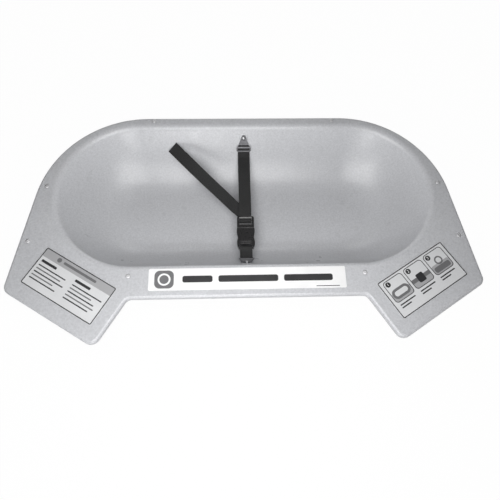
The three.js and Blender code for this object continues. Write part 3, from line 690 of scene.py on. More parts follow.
def rolled_inset(tray, run, share, drop):
    """Inset of a wall of the given run that has a broad roll at its top."""
    width = run - WALL_INSET
    if share > ROLL_SHARE:
        return WALL_INSET + share * width
    fall = (tray.bowl_depth - WALL_FALL) * tray.wall_power * (1 - ROLL_SHARE) ** (tray.wall_power - 1)
    tilt = math.atan2(fall, width)
    radius = wall_drop(tray, ROLL_SHARE) / (1 - math.cos(tilt))
    start = WALL_INSET + ROLL_SHARE * width - radius * math.sin(tilt)
    return start + math.sqrt(drop * (2 * radius - drop))


def bowl_stations(tray):
    """Inset towards the rear, front and end, and drop, of each ring of the bowl from the rim to the floor."""
    fall = tray.rim_radius * (1 - math.cos(RIM_TURN))
    rim_share = 1 - (1 - (fall - WALL_FALL) / (tray.bowl_depth - WALL_FALL)) ** (1 / tray.wall_power)
    width = tray.front_run - WALL_INSET
    rings = []
    for step in range(RIM_STEPS + 1):
        slope = RIM_TURN * step / RIM_STEPS
        back = tray.rim_radius * (math.sin(RIM_TURN) - math.sin(slope))
        rings.append((0, WALL_INSET + rim_share * width - back, tray.rim_radius * (1 - math.cos(slope))))
    for step in range(1, WALL_STEPS + 1):
        share = rim_share + (1 - rim_share) * (step / WALL_STEPS) ** WALL_SPACING
        rings.append((share, WALL_INSET + share * width, wall_drop(tray, share)))
    stations = []
    for share, front, drop in rings:
        rear = REAR_SHIFT + rolled_inset(tray, tray.rear_run, share, drop)
        stations.append((rear, front, rolled_inset(tray, tray.end_run, share, drop), drop))
    return stations


def stadium(tray, rear, front, end):
    """Radius, middle and end centre of a ring of the bowl."""
    back, fore = tray.bowl_half_width - rear, -tray.bowl_half_width + front
    radius = (back - fore) / 2
    return radius, (back + fore) / 2, tray.bowl_half_length - end - radius


def flange_skin(tray):
    """Upper skin of the flange with its lip, open in the middle. Left in edit mode."""
    radii = [NOTCH_CORNER, WING_CORNER, WING_CORNER, tray.bowl_half_width + BACK_CORNER_MARGIN]
    steps = CORNER_STEPS + CORNER_STEPS[::-1]
    outline_face(*rounded(flange_corners(tray), radii + radii[::-1], steps))
    extrude(z=tray.lip_height - tray.edge_radius)
    inset = rise = 0.0
    for step in range(1, EDGE_STEPS + 1):
        angle = math.pi / 2 * step / EDGE_STEPS
        next_inset, next_rise = tray.edge_radius * (1 - math.cos(angle)), tray.edge_radius * math.sin(angle)
        bpy.ops.mesh.inset(thickness=next_inset - inset, depth=next_rise - rise)
        inset, rise = next_inset, next_rise
    bpy.ops.mesh.inset(thickness=COLLAR)
    bpy.ops.mesh.delete(type="ONLY_FACE")
    choose("FACE", lambda face: len(face.verts) > 4)
    bpy.ops.mesh.delete(type="ONLY_FACE")


def bowl_skin(tray):
    """Upper skin of the bowl inside the flange, in the same mesh."""
    rear, front, end, _ = bowl_stations(tray)[0]
    radius, middle, centre = stadium(tray, rear - COLLAR, front - COLLAR, end - COLLAR)
    height = tray.lip_height
    start = Vector((centre, middle - radius))
    choose("VERT", lambda vertex: vertex.index == 0)
    bpy.ops.mesh.duplicate()
    bpy.ops.mesh.hide(unselected=True)
    here = pen()
    shift(start.x - here.x, start.y - here.y, height - here.z)
    right, left = (Vector((side * centre, middle)) for side in (1, -1))
    top, low = (Vector((-centre, middle + side * radius)) for side in (1, -1))
    trace(start, [(right, math.pi, tray.arc_steps), top, (left, math.pi, tray.arc_steps), low])
    merge_doubles()
    select_all()
    for rear, front, end, drop in bowl_stations(tray):
        next_radius, next_middle, next_centre = stadium(tray, rear, front, end)
        level = tray.lip_height - drop
        extrude(z=level - height)
        ring = chosen()
        ratio = next_radius / radius
        for _, side in SIDES:
            half = {at for at, spot in ring.items() if spot.x * side > 0}
            choose("VERT", lambda vertex: vertex.index in half)
            pivot = (side * centre, middle, level)
            bpy.ops.transform.resize(value=(ratio, ratio, 1), center_override=pivot)
            shift(side * (next_centre - centre), next_middle - middle)
        choose("VERT", lambda vertex: vertex.index in ring)
        radius, middle, centre, height = next_radius, next_middle, next_centre, level
    bpy.ops.mesh.select_mode(type="EDGE")
    bpy.ops.mesh.edge_face_add()
    bpy.ops.mesh.reveal()


def close_flange(tray):
    """Fills the flat of the flange between its edge and the bowl's rim."""
    top = tray.lip_height - 0.01 * MM
    choose("EDGE", lambda edge: len(edge.link_faces) == 1 and middle_of(edge).z > top)
    bpy.ops.mesh.fill(use_beauty=True)
    merge_doubles()
    face_outwards()
    made = bmesh.from_edit_mesh(bpy.context.edit_object.data)
    made.normal_update()
    lowest = min(made.faces, key=lambda face: middle_of(face).z)
    if lowest.normal.z < 0:
        bpy.ops.mesh.flip_normals()


class CHANGING_OT_tray(bpy.types.Operator):
    """Models the moulded tray with its bosses, pads and screw holes"""

    bl_idname = "changing.tray"
    bl_label = "Moulded tray"

    def execute(self, context):
        tray = context.scene.tray_sizes
        skin, top = tray.skin, tray.lip_height
        flange_skin(tray)
        bowl_skin(tray)
        close_flange(tray)
        piece = done("moulded_tray")
        apply(piece, "SOLIDIFY", thickness=skin, offset=-1, use_even_offset=True, use_quality_normals=True)
        seats = [moved(spot.x, spot.y) for spot in screw_places().values()]
        walls = [anchor_matrix(end) for end in ANCHORS]
        pad = [(0, -skin - PAD), (PAD_RADIUS, -skin - PAD), (PAD_RADIUS + 2 * PAD, -PAD)]
        pad += [(PAD_RADIUS + PAD, 0.3 * PAD), (PAD_RADIUS, 0.85 * PAD), (PAD_RADIUS - PAD, PAD), (0, PAD)]
        bosses = [place(rod(BOSS_RADIUS, 0, top - skin + MM, "boss"), seat) for seat in seats]
        bosses += [place(turned(pad, "pad", 64), wall) for wall in walls]
        cut(piece, join("bosses", *bosses), "UNION")
        bore, sink = SHANK_RADIUS + GAP, HEAD_RADIUS + GAP
        brim = sink + GAP
        hole = [(0, -MM), (bore, -MM), (bore, top - SINK_DEPTH), (sink, top - SINK_EASE)]
        hole += [(brim, top + SINK_EASE / 2), (brim, top + MM), (0, top + MM)]
        bores = [place(turned(hole, "bore"), seat) for seat in seats]
        bores += [place(rod(BOLT_RADIUS + GAP, -skin - 3 * PAD, 3 * PAD, "bore"), wall) for wall in walls]
        cut(piece, join("bores", *bores))
        give(smooth(piece), "tray_body", "tray_moulding", instead="tray")
        return {"FINISHED"}


# Fixings

SCREW_TIP, SCREW_POINT, THREAD_START, THREAD_END, SCREW_NECK = mm(-22, -19, -18, 4, 5)
SCREW_PITCH, SCREW_THREAD, SCREW_DOME, SCREW_HEAD = mm(1.6, 0.45, 1.3, 2.8)
SCREW_RECESS, BOLT_RECESS = mm(2.1, 1.2), mm(2.5, 1.6)
BOLT_PITCH, BOLT_THREAD = mm(0.8, 0.3)
SHEET, STEP, GROOVE = mm(2, 5, 0.35)
SEAT = PAD + GAP
SLOT_WIDTH, SLOT_HALF = mm(1.8, 13.2)
FIRST_SLOT = 20.3 * MM
STEP_START, STEP_END = FIRST_SLOT - 6 * MM, FIRST_SLOT - MM
MIDDLE_BAR, END_BAR = mm(1.6, 2.8)
SECOND_SLOT = FIRST_SLOT + SLOT_WIDTH + MIDDLE_BAR
MIDDLE_BAR_AT = FIRST_SLOT + SLOT_WIDTH + MIDDLE_BAR / 2
END_BAR_AT = SECOND_SLOT + SLOT_WIDTH
PLATE_LENGTH = END_BAR_AT + END_BAR
BAR_HEIGHT = SEAT + SHEET / 2 + STEP
TIP_AT, TIP_RADIUS = mm(-2.2, 4.6)
WASHER_TOP = -5 * MM - PAD - GAP
WASHER = 1.5 * MM
NUT_TOP = WASHER_TOP - WASHER - GAP
BOLT_END = NUT_TOP - 7 * MM


def threaded(radius, bottom, top, pitch, depth):
    """Profile of a threaded bar from its bottom to its top."""
    count = max(2, round((top - bottom) / pitch))
    rise = (top - bottom) / count
    profile = []
    for turn in range(count):
        base = bottom + turn * rise
        profile += [(radius - depth, base), (radius, base + 0.4 * rise), (radius, base + 0.6 * rise)]
    return profile + [(radius - depth, top)]


def dome(radius, base, rise, steps, fullness=1.0):
    """Profile of a domed head, from above its rim to its middle."""
    angles = [math.pi / 2 * step / steps for step in range(1, steps)]
    profile = [(radius * math.cos(angle) ** fullness, base + rise * math.sin(angle)) for angle in angles]
    return profile + [(0, base + rise)]


def cross_recess(piece, top, reach, depth):
    """Cuts a cross recess in a screw's head."""
    for turn in (0, math.pi / 2):
        blade = block(both(reach), both(0.21 * reach), both(depth), "blade")
        edit(blade)
        choose("FACE", lambda face: face.normal.z < -0.5)
        bpy.ops.transform.resize(value=(0.55, 0.7, 1), center_override=(0, 0, -depth))
        done("blade")
        cut(piece, place(blade, moved(z=top) @ Matrix.Rotation(turn, 4, "Z")))
    return piece


class CHANGING_OT_flange_screws(bpy.types.Operator):
    """Models the eight flange screws"""

    bl_idname = "changing.flange_screws"
    bl_label = "Flange screws"

    def execute(self, context):
        top = context.scene.tray_sizes.lip_height
        profile = [(0, SCREW_TIP), (1.3 * MM, SCREW_POINT)]
        profile += threaded(SHANK_RADIUS, THREAD_START, THREAD_END, SCREW_PITCH, SCREW_THREAD)
        profile += [(SHANK_RADIUS, SCREW_NECK), (SHANK_RADIUS, top - SCREW_HEAD), (HEAD_RADIUS, top)]
        profile += dome(HEAD_RADIUS, top, SCREW_DOME, 6)
        screw = smooth(cross_recess(turned(profile, "screw", 32), top + SCREW_DOME, *SCREW_RECESS), 40)
        for number, (name, spot) in enumerate(screw_places().items()):
            turn = Matrix.Rotation(0.7 * number, 4, "Z")
            twin = copy_of(screw, f"flange_{name}", moved(spot.x, spot.y) @ turn)
            give(twin, "tray_body", "satin_steel", instead=name)
        bpy.data.objects.remove(screw)
        return {"FINISHED"}


def plate_outline():
    """Start and moves of the anchor plate's outline: a tapered tab and a wider end with ears."""
    tab, ear, corner, ease = mm(11.7, 15.5, 3, 0.6)
    tab_end, ear_rise, ear_start = (FIRST_SLOT - back * MM for back in (3, 1.4, 0.6))
    run = tab_end - TIP_AT
    lean = math.atan2(tab, run) + math.acos(TIP_RADIUS / math.hypot(tab, run)) - math.pi / 2
    start = Vector((-TIP_RADIUS * math.cos(lean), TIP_AT - TIP_RADIUS * math.sin(lean)))
    arc = (Vector((0, TIP_AT)), math.pi - 2 * lean, 20)
    low = PLATE_LENGTH - corner
    moves = [arc, (tab, tab_end), (ear - ease, ear_rise), (ear, ear_start), (ear, low)]
    moves += [(Vector((ear - corner, low)), math.pi / 2, 8), (corner - ear, PLATE_LENGTH)]
    moves += [(Vector((corner - ear, low)), math.pi / 2, 8), (-ear, ear_start)]
    return start, moves + [(ease - ear, ear_rise), (-tab, tab_end)]


def step_height(along):
    """Height of the sheet's middle along the plate, with its step and the groove in its end bar."""
    share = min(1, max(0, (along - STEP_START) / (STEP_END - STEP_START)))
    height = SEAT + SHEET / 2 + STEP * share * share * (3 - 2 * share)
    off = abs(along - (END_BAR_AT + END_BAR / 2)) / (0.3 * END_BAR)
    return height - GROOVE * max(0, 1 - off * off)


def anchor_plate():
    """A stamped plate with a screw hole, two slots, a step and a grooved end bar."""
    outline_face(*plate_outline())
    rows = [STEP_START + (STEP_END - STEP_START) * share / 8 for share in range(9)]
    rows += [END_BAR_AT + END_BAR * share / 10 for share in range(1, 10)]
    for row in rows:
        select_all()
        bpy.ops.mesh.bisect(plane_co=(0, row, 0), plane_no=(0, 1, 0))
    select_all()
    extrude(z=MM)
    face_outwards()
    blank = done("anchor_plate")
    tools = [rod(BOLT_RADIUS + GAP, -MM, 2 * MM, "hole", 32)]
    for slot in (FIRST_SLOT, SECOND_SLOT):
        sides = (both(SLOT_HALF), (slot, slot + SLOT_WIDTH), (-MM, 2 * MM))
        tools.append(slab(*sides, 0.4 * SLOT_WIDTH, "slot", 5))
    cut(blank, join("plate_tools", *tools))
    edit(blank)
    choose("FACE", lambda face: face.normal.z < 0.5)
    bpy.ops.mesh.delete(type="FACE")
    merge_doubles()
    for vertex in bmesh.from_edit_mesh(blank.data).verts:
        vertex.co.z = step_height(vertex.co.y)
    bmesh.update_edit_mesh(blank.data)
    face_outwards()
    done("anchor_plate")
    apply(blank, "SOLIDIFY", thickness=SHEET, offset=0, use_even_offset=True)
    return smooth(soften(outwards(blank), 0.4 * MM, 2, 50), 40)


def anchor_screw(skin):
    """A domed bolt with a cross recess and a threaded end."""
    seat = SEAT + SHEET + GAP
    head, rise, rim, ease = mm(4.4, 2.6, 0.6, 0.3)
    profile = [(0, BOLT_END), (BOLT_RADIUS - 0.7 * MM, BOLT_END)]
    profile += threaded(BOLT_RADIUS, BOLT_END + 0.5 * MM, -skin, BOLT_PITCH, BOLT_THREAD)
    profile += [(BOLT_RADIUS, seat - 0.5 * MM), (BOLT_RADIUS, seat), (head - ease, seat), (head, seat + ease)]
    profile += dome(head, seat + rim, rise - rim, 7, 0.8)
    return smooth(cross_recess(turned(profile, "bolt", 36), seat + rise, *BOLT_RECESS), 40)


def washer():
    """A flat washer with broken edges."""
    top, low, bore = WASHER_TOP, WASHER_TOP - WASHER, BOLT_RADIUS + GAP
    rim, ease = mm(8, 0.25)
    profile = [(bore, low), (rim - ease, low), (rim, low + ease), (rim, top - ease), (rim - ease, top)]
    return smooth(turned(profile + [(bore, top), (bore, low)], "washer", 48), 30)


def lock_nut():
    """A hexagon nut with chamfered corners and a nylon ring."""
    radius, height, full_height, ease = mm(4.7, 3.7, 5, 0.2)
    top, low, bore = NUT_TOP, NUT_TOP - full_height, BOLT_RADIUS + GAP
    base = top - height
    flat = radius * math.cos(math.pi / 6)
    sizes = {"vertices": 6, "radius": radius, "depth": height, "location": (0, 0, top - height / 2)}
    hexagon = shape(bpy.ops.mesh.primitive_cylinder_add, "hexagon", **sizes)
    bpy.ops.object.transform_apply(location=True)
    wide = flat + 1.2 * MM
    cone = [(0, top + MM), (wide, top + MM), (wide, base + 0.55 * MM), (flat - 0.1 * MM, base), (0, base)]
    cut(hexagon, turned(cone, "chamfer", 48), "INTERSECT")
    cut(hexagon, rod(bore, base - MM, top + MM, "bore", 32))
    soften(hexagon, 0.12 * MM, 2, 25)
    inner, outer, crown = bore - ease, flat - ease, base + 0.1 * MM
    collar = [(inner, low + ease), (bore, low), (flat - 0.7 * MM, low), (outer, low + 0.5 * MM)]
    collar += [(outer, crown), (inner, crown), (inner, low + ease)]
    return smooth(join("lock_nut", hexagon, turned(collar, "nut_collar", 40)), 30)


class CHANGING_OT_anchors(bpy.types.Operator):
    """Models the two belt anchors with their bolts, washers and lock nuts"""

    bl_idname = "changing.anchors"
    bl_label = "Belt anchors"

    def execute(self, context):
        made = {
            "anchor_plate": (anchor_plate(), "plated_steel"),
            "anchor_screw": (anchor_screw(context.scene.tray_sizes.skin), "bright_steel"),
            "backing_washer": (washer(), "plated_steel"),
            "lock_nut": (lock_nut(), "plated_steel"),
        }
        for end in ANCHORS:
            for name, (piece, paint) in made.items():
                twin = copy_of(piece, f"{end}_{name}_piece", anchor_matrix(end))
                give(twin, "tray_body", paint, instead=f"{end}_{name}")
        for piece, _ in made.values():
            bpy.data.objects.remove(piece)
        return {"FINISHED"}


# Belt

MOUTH, BAR_HALF, TAIL_DROP = mm(-61.5, 1.5, -4.95)
LADDER_END, LADDER_SLOT, LADDER_BAR, LADDER_MOUTH = mm(-34.5, -38.5, -42.1, -45.3)
FEMALE_END, FEMALE_BAR_AT, FEMALE_BAR = mm(-105.8, -104.1, 3.4)
SEWN_LENGTH, SPLIT_Y, LOWER_JOINT = mm(48, 58, -113)
REAR_OUT, FRONT_OUT = mm(-10, 9.74)
ROW, FINE_ROW = mm(1.6, 0.8)
LAYER_GAP = 0.65 * MM
WEBBING_LAYER = BAR_HEIGHT - SHEET / 2 - GAP - 1.3 * MM
COLUMNS = 14
CURVE_STEPS = 40
STITCH_SPACING, STITCH_MARGIN = mm(2.9, 4)
STITCH_ROWS = mm(5, 8.5, 38, 41.5)
TAIL_ROLL = math.radians(24)
TAIL_ROUTE = [
    (0, -0.013, 0),
    (-0.01, 0.018, 0),
    (-0.041, 0.064, 0),
    (-0.11, 0.128, 0.008),
    (-0.23, 0.232, 0.061),
    (-0.406, 0.39, 0.122),
    (-0.589, 0.579, 0.148),
    (-0.783, 0.819, 0.105),
]


def between(first, last, low, high, at):
    """The point between two others, or beyond them, at a place on a scale from low to high."""
    return first.lerp(last, (at - low) / (high - low))


def through(points, row=ROW):
    """An even line of points along a smooth centripetal curve through the given ones."""
    points = [Vector(point) for point in points]
    ends = [2 * points[0] - points[1], *points, 2 * points[-1] - points[-2]]
    fine = []
    for p in zip(ends, ends[1:], ends[2:], ends[3:]):
        k = [0.0]
        for a, b in zip(p, p[1:]):
            k.append(k[-1] + (b - a).length ** 0.5)
        for step in range(CURVE_STEPS):
            at = k[1] + (k[2] - k[1]) * step / CURVE_STEPS
            near = [between(p[i], p[i + 1], k[i], k[i + 1], at) for i in range(3)]
            wide = [between(near[i], near[i + 1], k[i], k[i + 2], at) for i in range(2)]
            fine.append(between(*wide, k[1], k[2], at))
    fine.append(points[-1])
    total = sum((b - a).length for a, b in zip(fine, fine[1:]))
    count = max(4, round(total / row))
    even, walked, goal = [fine[0]], 0.0, 1
    for a, b in zip(fine, fine[1:]):
        stretch = (b - a).length
        while goal < count and walked + stretch >= goal * total / count:
            even.append(a.lerp(b, (goal * total / count - walked) / stretch))
            goal += 1
        walked += stretch
    return even + [fine[-1]]


def lay_webbing(name, route, belt, start=0.0, roll=0.0):
    """A strip of webbing along a route, level or slowly rolled. Also returns where its map ends."""
    rows = len(route) - 1
    grid = {"x_subdivisions": COLUMNS, "y_subdivisions": rows, "size": 1, "calc_uvs": True}
    strip = shape(bpy.ops.mesh.primitive_grid_add, name, **grid)
    lengths = [0.0]
    for a, b in zip(route, route[1:]):
        lengths.append(lengths[-1] + (b - a).length)
    sides = []
    for at in range(len(route)):
        along = route[min(at + 1, rows)] - route[max(at - 1, 0)]
        across = Vector((1, 0, 0)) if abs(along.x) < 1e-9 else Vector((along.y, -along.x, 0)).normalized()
        sides.append(Matrix.Rotation(-roll * (at / rows) ** 2, 3, along) @ across)
    for vertex in strip.data.vertices:
        at = round((vertex.co.y + 0.5) * rows)
        vertex.co = route[at] + sides[at] * vertex.co.x * belt.width
    for corner in strip.data.uv_layers[0].data:
        corner.uv.y = (start + lengths[round(corner.uv.y * rows)]) / belt.width
    apply(strip, "SOLIDIFY", thickness=belt.thickness, offset=0, use_even_offset=True)
    soften(outwards(strip), 0.32 * belt.thickness, 2, 60)
    return smooth(strip, 50), start + lengths[-1]


def arc(y, z, radius, first, last, steps=8):
    """Points of an arc from one angle to another, as y and z."""
    angles = [first + (last - first) * step / steps for step in range(steps + 1)]
    return [(y + radius * math.cos(angle), z + radius * math.sin(angle)) for angle in angles]


def on_line(belt, rows):
    """Points on the belt's middle line: each row is y, and the height above the line."""
    return [Vector((0, y, belt.level + z)) for y, z in rows]


def anchor_run(end, belt, outward, side):
    """One layer of a sewn end, from behind the plate's end bar out to the belt's line."""
    matrix = anchor_matrix(end)
    behind, leave = (matrix @ Vector((0, PLATE_LENGTH + ahead * MM, WEBBING_LAYER)) for ahead in (0, 5))
    far = Vector((0, leave.y + outward, belt.level))
    up = Vector((0, 0, 1))
    out = (matrix.to_3x3() @ up).normalized()
    line = [behind, *curve(behind, leave, far, 6)]
    half = side * belt.thickness / 2
    return [point + out.lerp(up, at / 6).normalized() * half for at, point in enumerate(line)]


def anchor_loop(end):
    """Webbing's way round a plate's middle bar, from the lower layer over the bar to the upper layer."""
    radius = math.hypot(MIDDLE_BAR, SHEET) / 2 + LAYER_GAP
    upper, lower = WEBBING_LAYER + 0.62 * MM, WEBBING_LAYER - 0.66 * MM
    bar, side = MIDDLE_BAR_AT, 2.1 * MM
    way = [(bar + 2.5 * MM, lower), (bar - 0.4 * MM, lower + 0.1 * MM), (bar - side, BAR_HEIGHT - side)]
    way += arc(bar, BAR_HEIGHT, radius, math.pi, 0)
    way += [(bar + 4.0 * MM, upper + 0.15 * MM), (bar + 5.6 * MM, upper)]
    return [anchor_matrix(end) @ Vector((0, along, height)) for along, height in way]


def sewn_end(end, belt, outward):
    """Webbing's way in under a sewn end, round the plate's bar and out on top."""
    lower, upper = (anchor_run(end, belt, outward, side) for side in (-1, 1))
    return [*reversed(lower), *anchor_loop(end), *upper]


def stitch_rows(name, places, level, belt):
    """Rows of stitches across the webbing, on a face at a given height."""
    stitch = shape(bpy.ops.mesh.primitive_uv_sphere_add, "stitch", segments=8, ring_count=6, radius=1)
    place(stitch, Matrix.Diagonal((1.05 * MM, 0.3 * MM, 0.26 * MM, 1)))
    count = int((belt.width - STITCH_MARGIN) / STITCH_SPACING)
    made = []
    for y in places:
        for at in range(count + 1):
            x = (at - count / 2) * STITCH_SPACING
            made.append(copy_of(stitch, "stitch", moved(x, y, level)))
    bpy.data.objects.remove(stitch)
    return smooth(join(name, *made), 60)


def main_route(belt):
    """The upper strap: under layer of the sewn end, round the rear bar, and along the belt to the split."""
    way = sewn_end("rear", belt, REAR_OUT)
    seam, half = way[-1].y - SEWN_LENGTH, belt.thickness / 2
    under, over, split = on_line(belt, [(seam, -half), (seam + 6 * MM, half), (SPLIT_Y, 0)])
    return [under, *way, over, split], seam


def ladder_route(belt):
    """The strap from the split to the ladder: under the end bar, over the middle bar and back under."""
    under, over = both(BAR_HALF + 0.95 * MM)
    slot, mouth = LADDER_SLOT - 1.8 * MM, LADDER_MOUTH - 1.25 * MM
    rows = [(SPLIT_Y, 0), (30 * MM, 0), (LADDER_END + 25 * MM, 0), (LADDER_END + 10 * MM, -1.3 * MM)]
    rows += [(LADDER_END + 2 * MM, under), (LADDER_SLOT + 0.5 * MM, under), (slot + 0.2 * MM, -0.5 * MM)]
    rows += [(slot - 0.2 * MM, 0.8 * MM), (LADDER_BAR - 0.4 * MM, over), (LADDER_MOUTH + 0.6 * MM, over)]
    rows += [(mouth, over - 1.0 * MM), (mouth, TAIL_DROP + 1.1 * MM), (LADDER_MOUTH + 1.0 * MM, TAIL_DROP)]
    return on_line(belt, [*rows, (LADDER_BAR - 0.3 * MM, TAIL_DROP)])


def tail_route(belt, half_width):
    """The loose tail from under the ladder to its cut end near the rear wall."""
    first, origin = on_line(belt, [(LADDER_BAR, TAIL_DROP), (LADDER_END, TAIL_DROP)])
    return [first] + [origin + Vector(share) * (half_width - LADDER_END) for share in TAIL_ROUTE]


def lower_route(belt):
    """The lower strap: a sewn loop from the front bar to the bar of the buckle."""
    half, turn = belt.thickness / 2, math.radians(110)
    radius = FEMALE_BAR / math.sqrt(2) + GAP + LAYER_GAP
    start = on_line(belt, [(LOWER_JOINT, -half)])
    rows = [(LOWER_JOINT + 0.5 * MM, half), (FEMALE_BAR_AT - 3.2 * MM, 2.0 * MM)]
    rows += arc(FEMALE_BAR_AT, 0, radius, turn, -turn)
    rows += [(FEMALE_BAR_AT - 4.4 * MM, -2.2 * MM), (LOWER_JOINT + 0.4 * MM, -half - 0.2 * MM)]
    return [*start, *sewn_end("front", belt, FRONT_OUT), *on_line(belt, rows)]


class CHANGING_OT_belt(bpy.types.Operator):
    """Models the webbing: upper strap, loose tail and lower strap, with their stitching"""

    bl_idname = "changing.belt"
    bl_label = "Belt webbing"

    def execute(self, context):
        belt = context.scene.belt_sizes
        points, seam = main_route(belt)
        rear, run = lay_webbing("upper_strap_rear", through(points), belt)
        give(rear, None, "belt_webbing", instead="main_strap")
        face = belt.level + belt.thickness + 0.02 * MM
        stitches = stitch_rows("upper_strap_stitches", [seam + row for row in STITCH_ROWS], face, belt)
        give(stitches, None, "thread")
        front, _ = lay_webbing("upper_strap_front", through(ladder_route(belt)), belt, run)
        give(front, None, "belt_webbing", instead="main_strap")
        for piece in (rear, stitches):
            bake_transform(piece)
        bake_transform(front)
        route = through(tail_route(belt, context.scene.tray_sizes.bowl_half_width))
        tail, _ = lay_webbing("loose_tail", route, belt, roll=TAIL_ROLL)
        give(tail, "male_half", "belt_webbing", instead="strap_tail")
        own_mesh(tail)
        lower, _ = lay_webbing("lower_strap", through(lower_route(belt), FINE_ROW), belt)
        give(lower, None, "belt_webbing", instead="short_strap")
        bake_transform(lower)
        return {"FINISHED"}


# Buckle

SLEEVE_MOUTH = MOUTH - GAP
SLEEVE_EDGE = [(17.8, 0), (18.5, -4.8), (17.8, -12), (15.75, -19.5), (17.65, -27), (18, -36), (15, -44)]
LIFT_TILT = Matrix.Rotation(math.radians(26), 4, "X")
WEDGE_TILT = Matrix.Rotation(math.radians(15), 4, "X")


def crossbar(y, half_height, reach, name):
    """A bar along X with a rounded oval section."""
    section = Matrix.Diagonal((2 * half_height, y[1] - y[0], 1, 1))
    along = moved(y=sum(y) / 2) @ Matrix.Rotation(math.pi / 2, 4, "Y")
    return place(rod(0.5, -reach, reach, name, 24), along @ section)


def rim_edge(edge):
    """Whether an edge lies between an upright face and a level one."""
    return len(edge.link_faces) == 2 and sum(abs(face.normal.z) > 0.9 for face in edge.link_faces) == 1


def pillow(piece, ease, segments):
    """Rounds the upper and lower rims of a moulded blank."""
    edit(piece)
    choose("EDGE", rim_edge)
    bpy.ops.mesh.bevel(offset=ease, segments=segments, profile=0.6, affect="EDGES", clamp_overlap=True)
    return done(piece.name)


def male_half():
    """Ladder frame, body with grip grooves and guide tongue of the buckle, level with Z at its middle."""
    half, inner, thick, tongue, wedge = mm(17.5, 13.3, 4, 3.5, 1.7)
    male = slab(both(half), (MOUTH, LADDER_END), both(thick), 4 * MM, "buckle_male_half", 8)
    pillow(male, 1.2 * MM, 4)
    window = (LADDER_MOUTH - 5 * MM, LADDER_END + 6 * MM)
    cut(male, slab(both(inner), window, both(2 * thick), 1.5 * MM, "ladder_window", 5))
    cut(male, crossbar((LADDER_MOUTH, LADDER_BAR), BAR_HALF, inner + MM, "ladder_bar"), "UNION")
    lift = soften(block(both(inner + MM), both(1.8 * MM), both(MM), "lift_bar"), 0.5 * MM)
    cut(male, place(lift, moved(y=(LADDER_END + LADDER_SLOT) / 2) @ LIFT_TILT), "UNION")
    for at in range(3):
        y = MOUTH + (2.6 + 2.4 * at) * MM
        groove = (y - 0.35 * MM, y + 0.35 * MM)
        cut(male, block(both(11 * MM), groove, (thick - 0.4 * MM, thick + MM), "grip_groove"))
    reach = (MOUTH - 19 * MM, MOUTH + 2 * MM)
    cut(male, slab(both(tongue), reach, both(1.7 * MM), 2 * MM, "tongue"), "UNION")
    soften(male, 0.25 * MM, 2, 45)
    grip = soften(block(both(inner), both(wedge), both(1.2 * MM), "grip_wedge"), 0.3 * MM)
    spot = moved(y=LADDER_MOUTH - 7 * MM, z=thick - 0.5 * MM)
    cut(male, place(grip, spot @ WEDGE_TILT), "UNION")
    return smooth(male, 40)


def prong(name, side):
    """A sprung arm with a locking barb and a rounded tip."""
    outer, arm, thick, barb = mm(14.5, 4.4, 2.8, 2.4)
    inside, root = outer - arm, arm / 2
    barb_at, tip = SLEEVE_MOUTH - 12.6 * MM, SLEEVE_MOUTH - 26 * MM
    bent, corner, nose = Vector((inside, tip + 7 * MM)), Vector((inside, tip)), Vector((outer - MM, tip))
    flank, lock = Vector((outer + barb, tip + 3.5 * MM)), Vector((outer + barb, barb_at - 0.6 * MM))
    start = (outer, SLEEVE_MOUTH - root)
    moves = [(Vector((outer - root, start[1])), math.pi, 10), bent]
    moves += curve(bent, corner, nose, 8) + curve(nose, flank, lock, 10) + [(outer, barb_at)]
    piece = soften(plate(start, moves, -thick, thick, name), 0.5 * MM, 3, 50)
    if side < 0:
        outwards(place(piece, Matrix.Diagonal((-1, 1, 1, 1))))
    return smooth(piece, 40)


def female_outline():
    """Right and left edges of the waisted sleeve, as an outline."""
    points = [Vector((x * MM, SLEEVE_MOUTH + y * MM, 0)) for x, y in SLEEVE_EDGE]
    edge = [point.to_2d() for point in through(points, 1.2 * MM)]
    loop = edge[::-1] + [Vector((-point.x, point.y)) for point in edge]
    return loop[0], loop[1:]


def female_half():
    """Waisted sleeve with a mouth, side windows, a thumb panel, collar ribs and a webbing bar."""
    thick, cavity, height, slot_half, panel_half = mm(5.5, 14.8, 3.1, 13.5, 8.5)
    beyond = 20 * MM
    female = plate(*female_outline(), -thick, thick, "buckle_female_half")
    pillow(female, 2.2 * MM, 6)
    window = (SLEEVE_MOUTH - 27 * MM, SLEEVE_MOUTH - 12 * MM)
    cut(female, block(both(cavity), (window[0], SLEEVE_MOUTH + 2 * MM), both(height), "cavity"))
    cut(female, block(both(2 * beyond), window, both(height), "side_window"))
    slot = (FEMALE_END + FEMALE_BAR, FEMALE_END + 8 * MM)
    cut(female, slab(both(slot_half), slot, both(beyond), 1.5 * MM, "webbing_slot", 5))
    relief = (FEMALE_END - 2 * MM, FEMALE_END + FEMALE_BAR + MM)
    for sign in (1, -1):
        depth = sorted((sign * FEMALE_BAR / 2, sign * beyond))
        cut(female, block(both(slot_half), relief, depth, "bar_relief"))
    panel = (SLEEVE_MOUTH - 26 * MM, SLEEVE_MOUTH - 9 * MM)
    cut(female, slab(both(panel_half), panel, (thick - 0.5 * MM, thick + MM), 6 * MM, "thumb_panel", 10))
    soften(female, 0.25 * MM, 2, 45)
    rib, above = 0.9 * MM, moved(z=thick - 0.1 * MM)
    for at in range(2):
        y = SLEEVE_MOUTH - (30 + 4.2 * at) * MM
        collar = soften(crossbar((y - rib, y + rib), rib, 11.5 * MM, "collar_rib"), 0.4 * MM, 3, 60)
        cut(female, place(collar, above), "UNION")
    return smooth(female, 40)


